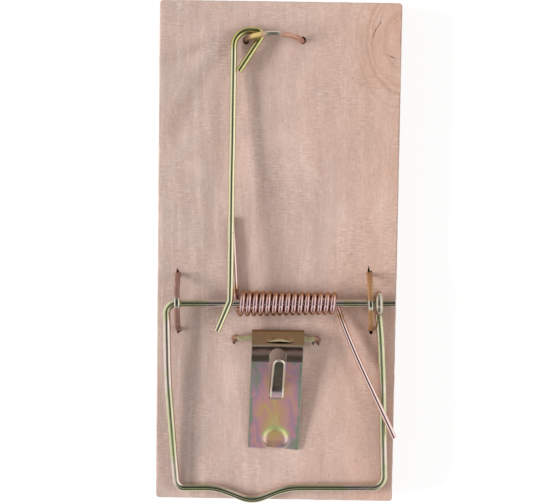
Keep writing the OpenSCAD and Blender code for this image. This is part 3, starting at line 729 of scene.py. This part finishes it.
class TRAP_OT_board(bpy.types.Operator):
    """Make the wooden board, with its leg holes, the splits beside them and two cracks by the knot"""

    bl_idname = "trap.board"
    bl_label = "Board"

    def execute(self, context):
        settings = context.scene.trap_board
        size, top, wear = BOARD_HIGH - BOARD_LOW, BOARD_HIGH.z, settings.edge_wear
        outline = [Vector((x, y, 0)) for x, y in rounded_outline(size.x, size.y, settings.corner_radius, 8)]
        outline = evened(outline + [outline[0]], 0.8 * MM)[:-1]
        # heights up the board's side, and how far the worn edge is in from it at each
        worn = [(wear * (1 - math.cos(turn)), wear * (1 - math.sin(turn))) for turn in (0.45, 0.9, 1.35)]
        levels = [(0.0, wear), *worn, (wear, 0.0), (top * 0.35, 0.0), (top * 0.65, 0.0), (top - wear, 0.0)]
        levels += [(top - height, inset) for height, inset in reversed(worn)] + [(top, wear)]
        mesh = bmesh.new()
        rings = []
        for height, inset in levels:
            ring = []
            for index, point in enumerate(outline):
                along = (outline[(index + 1) % len(outline)] - outline[index - 1]).normalized()
                outward = Vector((along.y, -along.x, 0))
                rough = 1 + 0.9 * vector_noise.noise(Vector((point.x, point.y, height)) / (2.6 * MM))
                saw = 0.05 * MM * (vector_noise.noise(Vector((point.x, point.y, height * 3)) / (1.3 * MM)) - 0.5)
                spot = point - outward * (inset * rough - saw)
                ring.append(mesh.verts.new((spot.x, spot.y, height)))
            rings.append(ring)
        skinned(mesh, rings)
        bmesh.ops.recalc_face_normals(mesh, faces=mesh.faces)
        board = made_from(mesh, "board")
        cutters = self.cutters(context)
        cut = board.modifiers.new("Holes", "BOOLEAN")
        cut.operation, cut.solver, cut.object = "DIFFERENCE", "EXACT", cutters
        evaluated_copy(board)
        bpy.data.objects.remove(cutters)
        for face in board.data.polygons:
            face.use_smooth = face.use_smooth and abs(face.normal.z) < 0.999
        finished(board, "base", planed_wood(settings), "wood", "base_board")
        return {"FINISHED"}

    def cutters(self, context):
        """Solids to take out of the board: leg holes, splits and cracks."""
        top = BOARD_HIGH.z
        mesh = bmesh.new()

        def prism(spots, depth_mm):
            upper = [mesh.verts.new(spot + Vector((0, 0, 0.3 * MM))) for spot in spots]
            lower = [mesh.verts.new(spot - Vector((0, 0, depth_mm * MM))) for spot in spots]
            mesh.faces.new(upper)
            mesh.faces.new(list(reversed(lower)))
            for index in range(len(spots)):
                after = (index + 1) % len(spots)
                mesh.faces.new((upper[index], lower[index], lower[after], upper[after]))

        def torn(spot, outward, depth_mm, shape):
            """A torn hole: the shape is given across and outward from spot, in millimetres."""
            prism([spot + Vector((across * MM, outward * out * MM, 0)) for across, out in shape], depth_mm)

        # the straps' ends split the wood: the outline of each hole, less its first and last corners
        wide = context.scene.trap_wires.strap_width / MM / 2 - 0.08
        left, right = LEFT_STRAP_X, RIGHT_STRAP_X
        for x, side, *shape in (
            (left, 1, (-0.42, 0.35), (-0.24, 1.30), (-0.08, 0.95), (0.06, 0.80), (0.38, 0.35), (wide, 0.1)),
            (left, -1, (-0.34, 0.50), (-0.12, 1.15), (0.08, 0.62), (0.38, 0.70), (wide, 0.1)),
            (
                right - 0.10 * MM, 1,
                (-0.42, 0.35), (-0.14, 1.80), (0.04, 1.00), (0.16, 0.55), (0.34, 0.75), (0.50, 0.60),
            ),
            (right + 0.22 * MM, -1, (-0.36, 0.55), (-0.12, 1.05), (0.14, 1.15), (0.36, 0.90), (wide, 0.2)),
        ):
            spot = axle_place() @ Vector((x, side * (STRAP_SPAN / 2 - 0.05 * MM), 0))
            spot.z = top
            torn(spot, side, 1.6, ((-wide, -0.2), *shape, (wide, -0.2)))
        # the locking bar staple's holes are oval
        turns = [2 * math.pi * part / 14 for part in range(14)]
        oval = [(0.62 * math.cos(turn), 0.74 * math.sin(turn)) for turn in turns]
        for side, shift_x, shift_y in ((-1, 0.0, -0.1), (1, 0.16, 0.1)):
            x = LOCKING_STAPLE_X + side * LOCKING_STAPLE_SPAN / 2 + shift_x * MM
            torn(Vector((x, LOCKING_STAPLE_Y + shift_y * MM, top)), 1, 1.2, oval)
        # the pedal staple's feet, with one more split inside the right one
        for x, shape in (
            (-8.27, ((-0.30, 0.5), (0.32, 0.5), (0.30, -0.25), (0.05, -0.50), (-0.26, -0.30))),
            (8.25, ((-0.40, 0.5), (0.36, 0.5), (0.30, -0.15), (0.24, -0.75), (0.06, -0.30), (-0.25, -0.25))),
            (7.30, ((-0.16, 0.45), (0.18, 0.42), (0.12, -0.35), (-0.02, -0.62), (-0.12, -0.20))),
        ):
            torn(Vector((x * MM, PEDAL_PIN.y - 1.15 * MM, top)), 1, 1.2, shape)
        # the cracks by the knot: thin slivers, wider in the middle
        for points, widest in (
            (((19.63, 47.1), (19.31, 45.1), (18.45, 43.9), (17.8, 42.3), (17.54, 40.7)), 1.0),
            (((20.4, 39.2), (21.6, 38.63), (22.98, 38.06)), 1.3),
        ):
            spots = [Vector((x * MM, y * MM, top)) for x, y in points]
            line = evened(rounded(spots, [2 * MM] * len(spots), 4.0), 0.3 * MM)
            left, right = [], []
            for index, spot in enumerate(line):
                share = index / (len(line) - 1)
                ahead = (line[min(index + 1, len(line) - 1)] - line[max(index - 1, 0)]).normalized()
                side = Vector((-ahead.y, ahead.x, 0))
                ragged = 0.65 + 0.7 * vector_noise.noise(spot / (0.5 * MM))
                width = context.scene.trap_board.crack_width * widest
                half = max(width * max(0.06, math.sin(math.pi * share)) * ragged / 2, 0.012 * MM)
                left.append(spot + side * half)
                right.append(spot - side * half)
            prism(left + list(reversed(right)), 0.7)
        bmesh.ops.recalc_face_normals(mesh, faces=mesh.faces)
        cutters = made_from(mesh, "cutters")
        # the cutters may cross one another, so they are joined first
        join = cutters.modifiers.new("Join", "BOOLEAN")
        join.operation, join.solver, join.use_self = "UNION", "EXACT", True
        join.object = nothing = made_from(bmesh.new(), "nothing")
        evaluated_copy(cutters)
        bpy.data.objects.remove(nothing)
        return cutters


class TRAP_OT_hammer(bpy.types.Operator):
    """Bend the hammer from one wire: axle, left arm, end bar with its V, right arm and eye"""

    bl_idname = "trap.hammer"
    bl_label = "Hammer"

    def execute(self, context):
        wires = context.scene.trap_wires
        wire = wires.hammer_wire
        bar_z = BOARD_HIGH.z + 0.1 * MM + wire / 2
        tilt = math.asin((AXLE.z - bar_z) / (HAMMER_REACH + 2.8 * MM))
        eye_radius = wire + 0.25 * MM
        drop = math.asin(eye_radius / HAMMER_REACH)

        def flat(x, y):
            """A point of the frame's plane, in millimetres along the axle and away from it."""
            return Vector((x * MM, y * MM, 0))

        def right_arm(x, y):
            """A point of the right arm, which leaves the frame's plane to pass below the axle."""
            run = HAMMER_REACH + y * MM
            return Vector((x * MM, -HAMMER_REACH + run * math.cos(drop), -run * math.sin(drop)))

        end = -HAMMER_REACH / MM
        # each corner with the radius of its bend, in millimetres
        bends = (
            (flat(23.2, 0), 0),
            (flat(-21.4, 0), 2.0),
            (flat(-21.45, end * 0.38), 230.0),
            (flat(-19.85, end), 1.7),
            (flat(-11.95, end + 0.02), 11.0),
            (flat(-4.85, end - 2.8), 5.2),
            (flat(2.25, end - 0.02), 11.0),
            (flat(21.2, end), 2.3),
            (right_arm(20.67, end * 0.3), 190.0),
            (right_arm(19.8, 0), 0),
        )
        line = rounded([corner for corner, _ in bends], [radius * MM for _, radius in bends], 5.0)
        last = line.pop()
        # the eye wraps this far round the axle, from below it, in this many steps
        wraps, steps = 266, 44
        for part in range(steps + 1):
            turn = math.radians(-90 + wraps * part / steps)
            x = last.x + 0.12 * MM * part / steps
            line.append(Vector((x, eye_radius * math.cos(turn), eye_radius * math.sin(turn))))
        line = wobble(evened(line, 1.2 * MM), 0.05 * MM, 9 * MM, 3.1)
        place = axle_place() @ Matrix.Rotation(tilt, 4, "X")
        line = [place @ point for point in line]
        hammer = swept("hammer_wire", line, circle_section(wire / 2, 22), (0, 0, 1))
        # the side colour is painted highlight and the top colour is plating with painted reflection
        plating = plated_wire(
            "olive plating",
            top=wires.hammer_top_plating_and_reflection,
            side=(0.76, 0.66, 0.55),
            flush=(0.74, 0.60, 0.57),
            dark=(0.25, 0.24, 0.16),
            eye=hammer_eye,
            eye_tint=(0.44, 0.39, 0.29),
            right_arm=0.13,
        )
        finished(hammer, "hammer", plating, "hammer_wire", "hammer")
        return {"FINISHED"}


class TRAP_OT_spring(bpy.types.Operator):
    """Wind the torsion spring round the axle, with one leg on the board and one over the right arm"""

    bl_idname = "trap.spring"
    bl_label = "Torsion spring"

    def execute(self, context):
        wires = context.scene.trap_wires
        wire = wires.spring_wire
        turns, per_turn = 15, 30
        start_x, pitch = -7.28 * MM, 1.256 * MM
        start_r, end_r = 2.1 * MM, 1.75 * MM
        coil = []
        for index in range(turns * per_turn + 1):
            share = index / (turns * per_turn)
            angle = math.radians(-90) - 2 * math.pi * index / per_turn
            radius = start_r + (end_r - start_r) * share
            uneven = 0.05 * MM * vector_noise.noise(Vector((index / per_turn * 0.8, 5.0, 0)))
            # the first half turn comes in from the fixed leg, a little outside the others
            settle = max(0.0, 1 - index / (per_turn * 0.55))
            x = start_x + pitch * turns * share + uneven - 0.6 * MM * settle * settle
            coil.append(Vector((x, radius * math.cos(angle), radius * math.sin(angle))))
        fixed_tip = Vector((coil[0].x - 0.8 * MM, coil[0].y + 16.6 * MM, -AXLE_RISE + wire / 2 + 0.03 * MM))
        moving_tip = coil[-1] + Vector((11.5 * MM, -26.6 * MM, 1.62 * MM))
        fixed = evened([fixed_tip, coil[0]], 1.0 * MM)[:-1]
        moving = evened([coil[-1], moving_tip], 1.0 * MM)[1:]
        for index, point in enumerate(moving):
            share = (index + 1) / len(moving)
            point.x -= 0.55 * MM * 4 * share * (1 - share) * (1.3 - share)
        line = fixed + coil + moving
        # eases the turn where each leg leaves the coil
        leaves, returns = len(fixed), len(fixed) + len(coil)
        for _ in range(3):
            for index in (*range(leaves - 3, leaves + 4), *range(returns - 4, returns + 3)):
                line[index] = (line[index - 1] + line[index] * 2 + line[index + 1]) / 4
        place = axle_place()
        line = [place @ point for point in line]
        spring = swept("spring_wire", line, circle_section(wire / 2, 16), (1, 0, 0))
        finished(spring, None, spring_plating(wires.spring_plating), "spring_wire", "torsion_spring")
        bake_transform(spring)
        return {"FINISHED"}


class TRAP_OT_locking_bar(bpy.types.Operator):
    """Bend the locking bar, with its hooked tip and three-cornered eye"""

    bl_idname = "trap.locking_bar"
    bl_label = "Locking bar"

    def execute(self, context):
        wires = context.scene.trap_wires
        wire = wires.locking_wire
        # the bar slopes up to lie over the axle: half the axle's wire, a gap, and half the bar's own
        over_axle = AXLE.z + (0.75 + 0.15 + 0.65) * MM
        slope = math.atan((over_axle - LOCKING_EYE.z) / (LOCKING_EYE.y - AXLE.y))
        # from the eye, in millimetres
        bend = Vector((-0.05, AXLE_Y - 42.0 + 0.4, 0))
        nose = Vector((6.0, 1.2, 0))
        tip_length, tip_angle = 6.4, math.radians(22.3)
        leg_length, leg_angle = 9.3, math.radians(57.5)
        corners = [
            bend - Vector((math.sin(tip_angle), math.cos(tip_angle), 0)) * tip_length,
            bend,
            Vector((0, 1.3, 0)),
            nose,
            nose - Vector((math.cos(leg_angle), math.sin(leg_angle), 0)) * leg_length,
        ]
        line = rounded([corner * MM for corner in corners], [r * MM for r in (0, 2.5, 3.0, 0.95, 0)], 5.0)
        line = wobble(evened(line, 1.2 * MM), 0.04 * MM, 12 * MM, 7.7)
        place = Matrix.Translation(LOCKING_EYE) @ Matrix.Rotation(-slope, 4, "X")
        line = [place @ point for point in line]
        bar = swept("locking_bar_wire", line, circle_section(wire / 2, 22), (0, 0, 1))
        # the side colour is painted highlight and the top colour is plating with painted reflection
        plating = plated_wire(
            "straw plating",
            top=wires.locking_top_plating_and_reflection,
            side=(0.86, 0.81, 0.62),
            flush=(0.68, 0.68, 0.44),
            dark=(0.24, 0.24, 0.14),
            eye=bar_eye,
            eye_tint=(0.54, 0.50, 0.17),
            roughness=0.09,
        )
        finished(bar, "locking_bar", plating, "locking_bar_wire", "locking_bar")
        return {"FINISHED"}


def arch_line(span, rise, leg, step_deg=4.0):
    """An arched staple in the XZ plane, standing on z = 0 with its legs carried on below."""
    radius = (span * span / 4 + rise * rise) / (2 * rise)
    half = math.asin(span / 2 / radius)
    count = math.ceil(math.degrees(2 * half) / step_deg)
    arc = []
    for part in range(count + 1):
        angle = -half + 2 * half * part / count
        arc.append(Vector((radius * math.sin(angle), 0, radius * math.cos(angle) + rise - radius)))
    down = Vector((math.cos(half), 0, -math.sin(half)))
    first = arc[0] + Vector((-down.x, 0, down.z)) * leg
    last = arc[-1] + down * leg
    return evened([first] + arc + [last], 1.0 * MM)


class TRAP_OT_staples(bpy.types.Operator):
    """Make the four staples: two flat ones over the axle, one for the locking bar and one for the pedal"""

    bl_idname = "trap.staples"
    bl_label = "Staples"

    def execute(self, context):
        wires = context.scene.trap_wires
        place = axle_place()
        strap = rounded_outline(wires.strap_thickness, wires.strap_width, 0.36 * MM, 4)
        # the crown is over the axle: half the axle's wire, its play, and half the strap
        apex = AXLE_RISE + 0.75 * MM + 0.25 * MM + wires.strap_thickness / 2
        for side, x, lean, seed, plating, tint in (
            ("left", LEFT_STRAP_X, 0.0, 1.0, "brown plating", wires.left_strap),
            ("right", RIGHT_STRAP_X, 0.03, 2.0, "tan plating", wires.right_strap),
        ):
            line = [
                Vector((x - lean * point.x, point.x, point.z - AXLE_RISE))
                for point in arch_line(STRAP_SPAN, apex, STAPLE_LEG)
            ]
            line = [place @ point for point in wobble(line, 0.05 * MM, 5 * MM, seed)]
            made = swept(f"{side}_axle_strap", line, strap, place.to_3x3() @ Vector((0, 0, 1)))
            plating = staple_plating(plating, tint, AXLE_Y, 1.0)
            finished(made, "base", plating, "staple_wire", f"{side}_axle_staple")

        wire = circle_section(wires.staple_wire / 2, 18)
        line = arch_line(LOCKING_STAPLE_SPAN, LOCKING_STAPLE_RISE / math.cos(LOCKING_STAPLE_LEAN), STAPLE_LEG)
        stand = Matrix.Translation((LOCKING_STAPLE_X, LOCKING_STAPLE_Y, BOARD_HIGH.z))
        stand = stand @ Matrix.Rotation(-LOCKING_STAPLE_LEAN, 4, "X")
        made = swept("locking_staple_wire", [stand @ point for point in line], wire, (0, 1, 0))
        middle = LOCKING_STAPLE_X / MM - 0.25
        rosy = staple_plating("rosy plating", wires.locking_staple, middle, 1.7, shouldered=True)
        finished(made, "base", rosy, "staple_wire", "locking_bar_staple")

        half = PEDAL_STAPLE_SPAN / 2
        lean = math.radians(28)
        deep = (PEDAL_PIN.z - BOARD_HIGH.z) / math.cos(lean) + 3.0 * MM
        corners = [(-half, 0, -deep), (-half, 0, 0), (half, 0, 0), (half, 0, -deep)]
        line = evened(rounded(corners, [0, 1.05 * MM, 1.05 * MM, 0], 7.0), 1.0 * MM)
        stand = Matrix.Translation((0, PEDAL_PIN.y, PEDAL_PIN.z)) @ Matrix.Rotation(-lean, 4, "X")
        line = [stand @ point for point in line]
        for point in line:
            # its two ends are bowed, more and more from the wood upwards
            out = abs(point.x) / MM
            bow = -0.30 * smooth_step((out - 5.3) / 0.9) + 0.42 * smooth_step((out - 6.9) / 1.0)
            point.y += bow * MM * smooth_step((point.z - BOARD_HIGH.z) / MM + 0.6)
        made = swept("pedal_staple_wire", line, wire, (0, 1, 0))
        finished(made, "base", pedal_staple_plating(wires.pedal_staple), "staple_wire", "pedal_staple")
        return {"FINISHED"}


class FoldedProfile:
    """A sheet's side view in Y and Z, read by the distance along the sheet."""

    def __init__(self, corners, radii):
        self.points = rounded([Vector((0, y, z)) for y, z in corners], radii, 6.0)
        self.runs = [0.0]
        for start, end in zip(self.points, self.points[1:]):
            self.runs.append(self.runs[-1] + (end - start).length)

    def at(self, run):
        """The point at that distance along the sheet."""
        index = 0
        while index < len(self.runs) - 2 and self.runs[index + 1] < run:
            index += 1
        share = (run - self.runs[index]) / max(self.runs[index + 1] - self.runs[index], 1e-9)
        return self.points[index].lerp(self.points[index + 1], share)

    def run_at_y(self, y):
        for index, (start, end) in enumerate(zip(self.points, self.points[1:])):
            if start.y <= y <= end.y:
                share = (y - start.y) / max(end.y - start.y, 1e-9)
                return self.runs[index] + share * (self.runs[index + 1] - self.runs[index])
        raise RuntimeError("the sheet's profile doesn't reach that far")


class TRAP_OT_pedal(bpy.types.Operator):
    """Stamp and fold the bait pedal: plate, ridge, rolled knuckle, bait tongue, catch and dimple"""

    bl_idname = "trap.pedal"
    bl_label = "Bait pedal"

    def execute(self, context):
        settings = context.scene.trap_pedal
        # the sheet's middle in side view, in millimetres from the pin
        sheet = settings.sheet / MM
        half = sheet / 2
        below = -(PEDAL_PIN.z - BOARD_HIGH.z) / MM
        pin_radius, play, bulge = 0.5, 0.08, 0.05
        facet_out = pin_radius + play + sheet + bulge
        ridge_y, ridge_top = -1.4, below + 3.0
        slope = math.acos(facet_out / math.hypot(ridge_y, ridge_top)) - math.atan2(-ridge_y, ridge_top)
        free_y, free_z = -22.35, below + 0.05 + half
        crease_y, crease_z = -4.75, below + 3.0 * 0.76 - half
        ridge_z = ridge_top - half / math.cos(slope)
        front_y = 1.62
        front_z = ridge_z - (front_y - ridge_y) * math.tan(slope)
        under, tail = (0.95, -0.86), (-1.9, -0.74)
        corners = [(free_y, free_z), (crease_y, crease_z), (ridge_y, ridge_z), (front_y, front_z), under, tail]
        profile = FoldedProfile(corners, [0, 1.2, 0.5, 0.52, 0.55, 0])

        # the tongue leaves the plate at its root and stands up over the slot
        root_y, bend_y, tip_y = -12.1, -10.0, -3.75
        root_z = free_z + (crease_z - free_z) * (root_y - free_y) / (crease_y - free_y) + 0.22
        bend_z = root_z + (bend_y - root_y) * math.tan(math.radians(8))
        tongue = FoldedProfile([(root_y, root_z), (bend_y, bend_z), (tip_y, below + 6.4 - half)], [0, 1.8, 0])
        tab = self.tab(tongue, 0.26, settings.tongue_width / MM / 2)

        # the flat blank: x across, y the distance along the sheet from its free end
        hinge_run, end_run = profile.run_at_y(-0.2), profile.runs[-1]
        plan_w, end_w, plan_x, end_x = 10.2, 10.0, 0.4, -0.24

        def edge(side, run):
            share = min(run / hinge_run, 1.0)
            return end_x + (plan_x - end_x) * share + side * (end_w + (plan_w - end_w) * share) / 2

        corner = 0.25
        outer = [(edge(-1, 0) + corner, 0.25), (1.6, 0.23), (edge(1, 0) - corner, -0.12)]
        outer += [(edge(1, run), run if run else corner - 0.12) for run in (0, hinge_run, end_run)]
        outer += [(edge(-1, run), run if run else corner + 0.25) for run in (end_run, hinge_run, 0)]
        # the slot is round at its near end and narrower at the tongue's root
        slot_x, slot_half = 0.42, settings.slot_width / MM / 2
        root_x, root_half = slot_x - 0.20, slot_half - 0.17
        near_run, far_run = profile.run_at_y(-1.85), profile.run_at_y(root_y)
        turns = [math.pi * part / 14 for part in range(15)]
        slot = [(root_x + root_half, far_run)]
        for turn in turns:
            slot.append((slot_x + slot_half * math.cos(turn), near_run - slot_half + slot_half * math.sin(turn)))
        slot.append((root_x - root_half, far_run))
        # the catch's mouth is a lens
        mouth_x, mouth_w, mouth_run = 0.78, 5.3, profile.run_at_y(-0.80)
        mouth = [
            (mouth_x + side * mouth_w / 2 * math.cos(turn), mouth_run + rise * math.sin(turn) ** 1.3)
            for side, rise in ((1, 0.32), (-1, -0.34))
            for turn in [math.pi * part / 18 for part in range(18)]
        ]
        blank = self.blank(outer, [slot, mouth])
        layer = blank.loops.layers.uv.new("Sheet")
        for face in blank.faces:
            for loop in face.loops:
                loop[layer].uv = (loop.vert.co.x - mouth_x, loop.vert.co.y - mouth_run)
        dimple_run = DIMPLE_Y - PIN_Y - free_y

        def fold(x, run):
            spot = profile.at(run)
            z = spot.z
            # pressed half-round dimple, which fades towards the free end
            if run < 5.5:
                away = math.hypot(x - DIMPLE_X, run - dimple_run)
                swell = smooth_step((2.5 - away) / 0.85)
                z += settings.dimple_rise / MM * swell * smooth_step((run - 0.35) / 1.7)
            # the catch's lip stands up behind its mouth, higher near its two ends
            lip = run - mouth_run
            share = (x - mouth_x) / mouth_w
            if abs(share) < 0.5:
                across = math.cos(share * math.pi) ** 0.8
                if lip > 0.0:
                    rise = 0.34 - 0.09 * math.cos(share * 3 * math.pi)
                    z += rise * across * math.exp(-(((lip - 0.50) / 0.26) ** 2))
                elif lip > -0.9:
                    z -= 0.14 * across * math.exp(-(((lip + 0.25) / 0.3) ** 2))
            return x, spot.y, z

        for vertex in blank.verts:
            vertex.co = fold(vertex.co.x, vertex.co.y)
        for name, mesh, plating, nodes in (
            ("pedal_sheet", blank, plated_sheet(settings), ["bait_pedal"]),
            ("pedal_tongue", tab, plated_tongue(), []),
        ):
            bmesh.ops.scale(mesh, vec=(MM, MM, MM), verts=mesh.verts)
            bmesh.ops.translate(mesh, vec=PEDAL_PIN, verts=mesh.verts)
            mesh.normal_update()
            if sum(face.normal.z * face.calc_area() for face in mesh.faces) < 0:
                bmesh.ops.reverse_faces(mesh, faces=mesh.faces)
            for face in mesh.faces:
                face.smooth = True
            made = made_from(mesh, name)
            thick = made.modifiers.new("Thickness", "SOLIDIFY")
            thick.thickness, thick.offset = settings.sheet, 0.0
            thick.use_even_offset = name == "pedal_sheet"
            soft = made.modifiers.new("Edges", "BEVEL")
            soft.width, soft.segments, soft.limit_method = 0.10 * MM, 3, "ANGLE"
            soft.angle_limit = math.radians(50)
            soft.use_clamp_overlap = soft.harden_normals = True
            finished(evaluated_copy(made), "bait_pedal", plating, "pedal_sheet", *nodes)
        return {"FINISHED"}

    def tab(self, profile, x, half, roll=0.25, drop=0.20, round_root=0.55):
        """The bait tongue: it narrows and leans a little to its round end, with its rim rolled down all round."""
        mesh = bmesh.new()
        layer = mesh.loops.layers.uv.new("Tongue")
        tip = half * 0.90
        straight = profile.runs[-1] - tip
        steps = [part * 0.08 for part in range(9)]
        steps += [0.72 + part * (straight - 0.72) / 16 for part in range(1, 17)]
        angles = (8, 16, 24, 32, 40, 48, 56, 64, 71, 77, 82, 86, 89)
        steps += [straight + tip * math.sin(math.radians(angle)) for angle in angles]
        spread = [-1, -0.96, -0.92, -0.87, -0.81, -0.74, -0.5, -0.25]
        spread += [0] + [-share for share in reversed(spread)]
        rows = []
        for run in steps:
            width = half * (1 - 0.13 * min(1.0, run / straight))
            past = max(0.0, run - straight)
            reach = width * math.sqrt(max(0.0, 1 - (past / tip) ** 2))
            if run < round_root:
                reach -= round_root - math.sqrt(max(0.0, round_root**2 - (round_root - run) ** 2))
            row = []
            for share in spread:
                across = share * reach
                inside = min(reach - abs(across), run + 0.02)
                if past:
                    inside = width - math.hypot(across, past * width / tip)
                sunk = drop * (1 - min(1.0, max(0.0, inside) / roll)) ** 2
                spot = profile.at(run)
                row.append((mesh.verts.new((x + 0.052 * run + across, spot.y, spot.z - sunk)), (run, inside)))
            rows.append(row)
        for lower, upper in zip(rows, rows[1:]):
            for part in range(len(spread) - 1):
                ring = (lower[part], lower[part + 1], upper[part + 1], upper[part])
                face = mesh.faces.new([vertex for vertex, _ in ring])
                for loop, (_, uv) in zip(face.loops, ring):
                    loop[layer].uv = uv
        return mesh

    def blank(self, outer, holes):
        """A flat sheet cut to its outlines, with lines enough across it to be folded."""
        mesh = bmesh.new()
        edges = []
        for loop in [outer] + holes:
            spots = [mesh.verts.new((x, y, 0)) for x, y in loop]
            edges += [mesh.edges.new((spots[i], spots[(i + 1) % len(spots)])) for i in range(len(spots))]
        bmesh.ops.triangle_fill(mesh, use_beauty=True, use_dissolve=False, edges=edges)
        low, high = min(y for _, y in outer), max(y for _, y in outer)
        left, right = min(x for x, _ in outer), max(x for x, _ in outer)
        # wide steps along the plate, fine ones round the folds, and steps across
        step, fine, across = 0.28, 0.09, 0.3
        lengthwise = [low + index * step for index in range(1, int((high - low) / step) + 1)]
        lengthwise += [high - 3.6 + index * fine for index in range(1, 20)]
        crosswise = [left + index * across for index in range(1, int((right - left) / across) + 1)]
        for facing, places in ((Vector((0, 1, 0)), lengthwise), (Vector((1, 0, 0)), crosswise)):
            for place in places:
                geometry = mesh.verts[:] + mesh.edges[:] + mesh.faces[:]
                bmesh.ops.bisect_plane(mesh, geom=geometry, dist=1e-5, plane_co=facing * place, plane_no=facing)
        bmesh.ops.remove_doubles(mesh, verts=mesh.verts, dist=1e-4)
        return mesh


# ---------------------------------------------------------------- stage


def area_lamp(name, spot, aim, size, power):
    """A lamp that lights the trap without a reflection of its own."""
    lamp = bpy.data.lights.new(name, "AREA")
    lamp.shape = "RECTANGLE"
    lamp.size, lamp.size_y = size
    lamp.energy = power
    made = bpy.data.objects.new(name, lamp)
    made.location = spot
    made.rotation_mode = "QUATERNION"
    made.rotation_quaternion = (Vector(aim) - Vector(spot)).to_track_quat("-Z", "Y")
    made.visible_glossy = False
    bpy.context.scene.collection.objects.link(made)


class TRAP_OT_stage(bpy.types.Operator):
    """Set the floor, lamps, surroundings and camera"""

    bl_idname = "trap.stage"
    bl_label = "Stage"

    def execute(self, context):
        settings = context.scene.trap_stage
        scene = context.scene
        scene.view_settings.view_transform = "Standard"
        self.floor()
        self.room(context, settings)
        for name, side, height, size, power in (
            ("left lamp", -1.0, 24.5, (0.55, 0.24), settings.side_light),
            ("right lamp", 1.0, 35.0, (0.55, 0.18), settings.fill_light),
        ):
            low = math.radians(height)
            area_lamp(name, (side * math.cos(low), 0.0, math.sin(low)), (0.0, 0.0, 0.006), size, power)
        camera = bpy.data.cameras.new("camera")
        camera.lens, camera.sensor_width = 96.81, 36.0
        camera.clip_start, camera.clip_end = 0.01, 20.0
        made = bpy.data.objects.new("camera", camera)
        made.location = (0.002077, 0.025548, 0.3)
        made.rotation_euler = [math.radians(angle) for angle in (-4.889, 0.376, 0.855)]
        scene.collection.objects.link(made)
        scene.camera = made
        return {"FINISHED"}

    def floor(self):
        """A floor that looks white, and lights the trap like pale grey card."""
        mesh = bmesh.new()
        side = 3.0
        corners = ((-side, -side), (side, -side), (side, side), (-side, side))
        mesh.faces.new([mesh.verts.new((x, y, 0)) for x, y in corners])
        floor = made_from(mesh, "floor")
        s = Shader(bpy.data.materials.new("white floor"))
        rays = s.node("LightPath", {}).outputs
        kinds = ("Camera", "Glossy", "Transmission")
        camera, glossy, through = (Field(s, rays[f"Is {kind} Ray"]) for kind in kinds)
        plain = s.field("BsdfDiffuse", {0: (0.80, 0.80, 0.80)})
        lit = s.field("BsdfDiffuse", {0: (0.30, 0.295, 0.29)})
        glow = s.field("Emission", {0: WHITE, 1: 0.80})
        seen = s.field("AddShader", {0: lit, 1: glow})
        mixed = s.field("MixShader", {0: camera.max(glossy).max(through), 1: plain, 2: seen})
        s.node("OutputMaterial", {0: mixed})
        floor.data.materials.append(s.owner)

    def room(self, context, settings):
        """Surroundings: an even dome, which metal sees as bright sides with dim strips between them overhead."""
        world = context.scene.world = bpy.data.worlds.new("room")
        world.cycles.sampling_method = "NONE"
        s = Shader(world)
        x, y, z = s.parts(s.field("TexCoord", output="Generated"))
        beside = abs(x + settings.strip_offset).ramp((0.22, 0.0), (0.38, 0.30), (0.58, 0.75), (0.76, 1.0))
        strip = settings.strip_shade
        overhead = (y * 0.5 + 0.5).ramp(
            (0.0, 0.95),
            (0.0035, 0.45),
            (0.012, 0.20),
            (0.036, 0.16),
            (0.18, 0.10),
            (0.235, 0.14),
            (0.262, 0.85),
            (0.318, 0.85),
            (0.345, 0.14),
            (0.40, strip),
            (0.58, strip),
            (0.68, 0.12),
            (0.88, 0.26),
            (1.0, 0.42),
        )
        sides = (x * 0.5 + 0.5).ramp((0.35, 0.90), (0.65, 1.10))
        low = z.ramp((0.0, 0.95), (0.20, 1.25), (0.40, 1.35), (0.62, 1.15), (0.80, 1.0))
        reflected = s.mix(beside, overhead, sides * low)
        rays = s.node("LightPath", {}).outputs
        light = s.mix(Field(s, rays["Is Glossy Ray"]), (settings.room_light,) * 3, reflected)
        light = s.mix(Field(s, rays["Is Camera Ray"]), light, WHITE)
        s.node("OutputWorld", {0: s.field("Background", {0: light})})


# ---------------------------------------------------------------- add-on


class TRAP_PT_panel(bpy.types.Panel):
    """Mouse trap pieces"""

    bl_idname = "TRAP_PT_panel"
    bl_label = "Mouse Trap"
    bl_space_type = "VIEW_3D"
    bl_region_type = "UI"
    bl_category = "Mouse Trap"

    def draw(self, context):
        column = self.layout.column()
        for operator in OPERATORS:
            column.operator(operator.bl_idname)
        for holder, group in SETTINGS.items():
            box = self.layout.box()
            for name in group.__annotations__:
                box.prop(getattr(context.scene, holder), name)


OPERATORS = (
    TRAP_OT_stage,
    TRAP_OT_board,
    TRAP_OT_staples,
    TRAP_OT_hammer,
    TRAP_OT_spring,
    TRAP_OT_locking_bar,
    TRAP_OT_pedal,
)
SETTINGS = {
    "trap_board": BoardSettings,
    "trap_wires": WireSettings,
    "trap_pedal": PedalSettings,
    "trap_stage": StageSettings,
}


def register():
    for group in SETTINGS.values():
        bpy.utils.register_class(group)
    for holder, group in SETTINGS.items():
        setattr(bpy.types.Scene, holder, bpy.props.PointerProperty(type=group))
    for kind in (*OPERATORS, TRAP_PT_panel):
        bpy.utils.register_class(kind)


def unregister():
    for kind in reversed((*OPERATORS, TRAP_PT_panel)):
        bpy.utils.unregister_class(kind)
    for holder in SETTINGS:
        delattr(bpy.types.Scene, holder)
    for group in SETTINGS.values():
        bpy.utils.unregister_class(group)


def main():
    register()
    bpy.ops.trap.stage()
    bpy.ops.trap.board()
    bpy.ops.trap.staples()
    bpy.ops.trap.hammer()
    bpy.ops.trap.spring()
    bpy.ops.trap.locking_bar()
    bpy.ops.trap.pedal()
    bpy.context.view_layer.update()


if __name__ == "__main__":
    main()
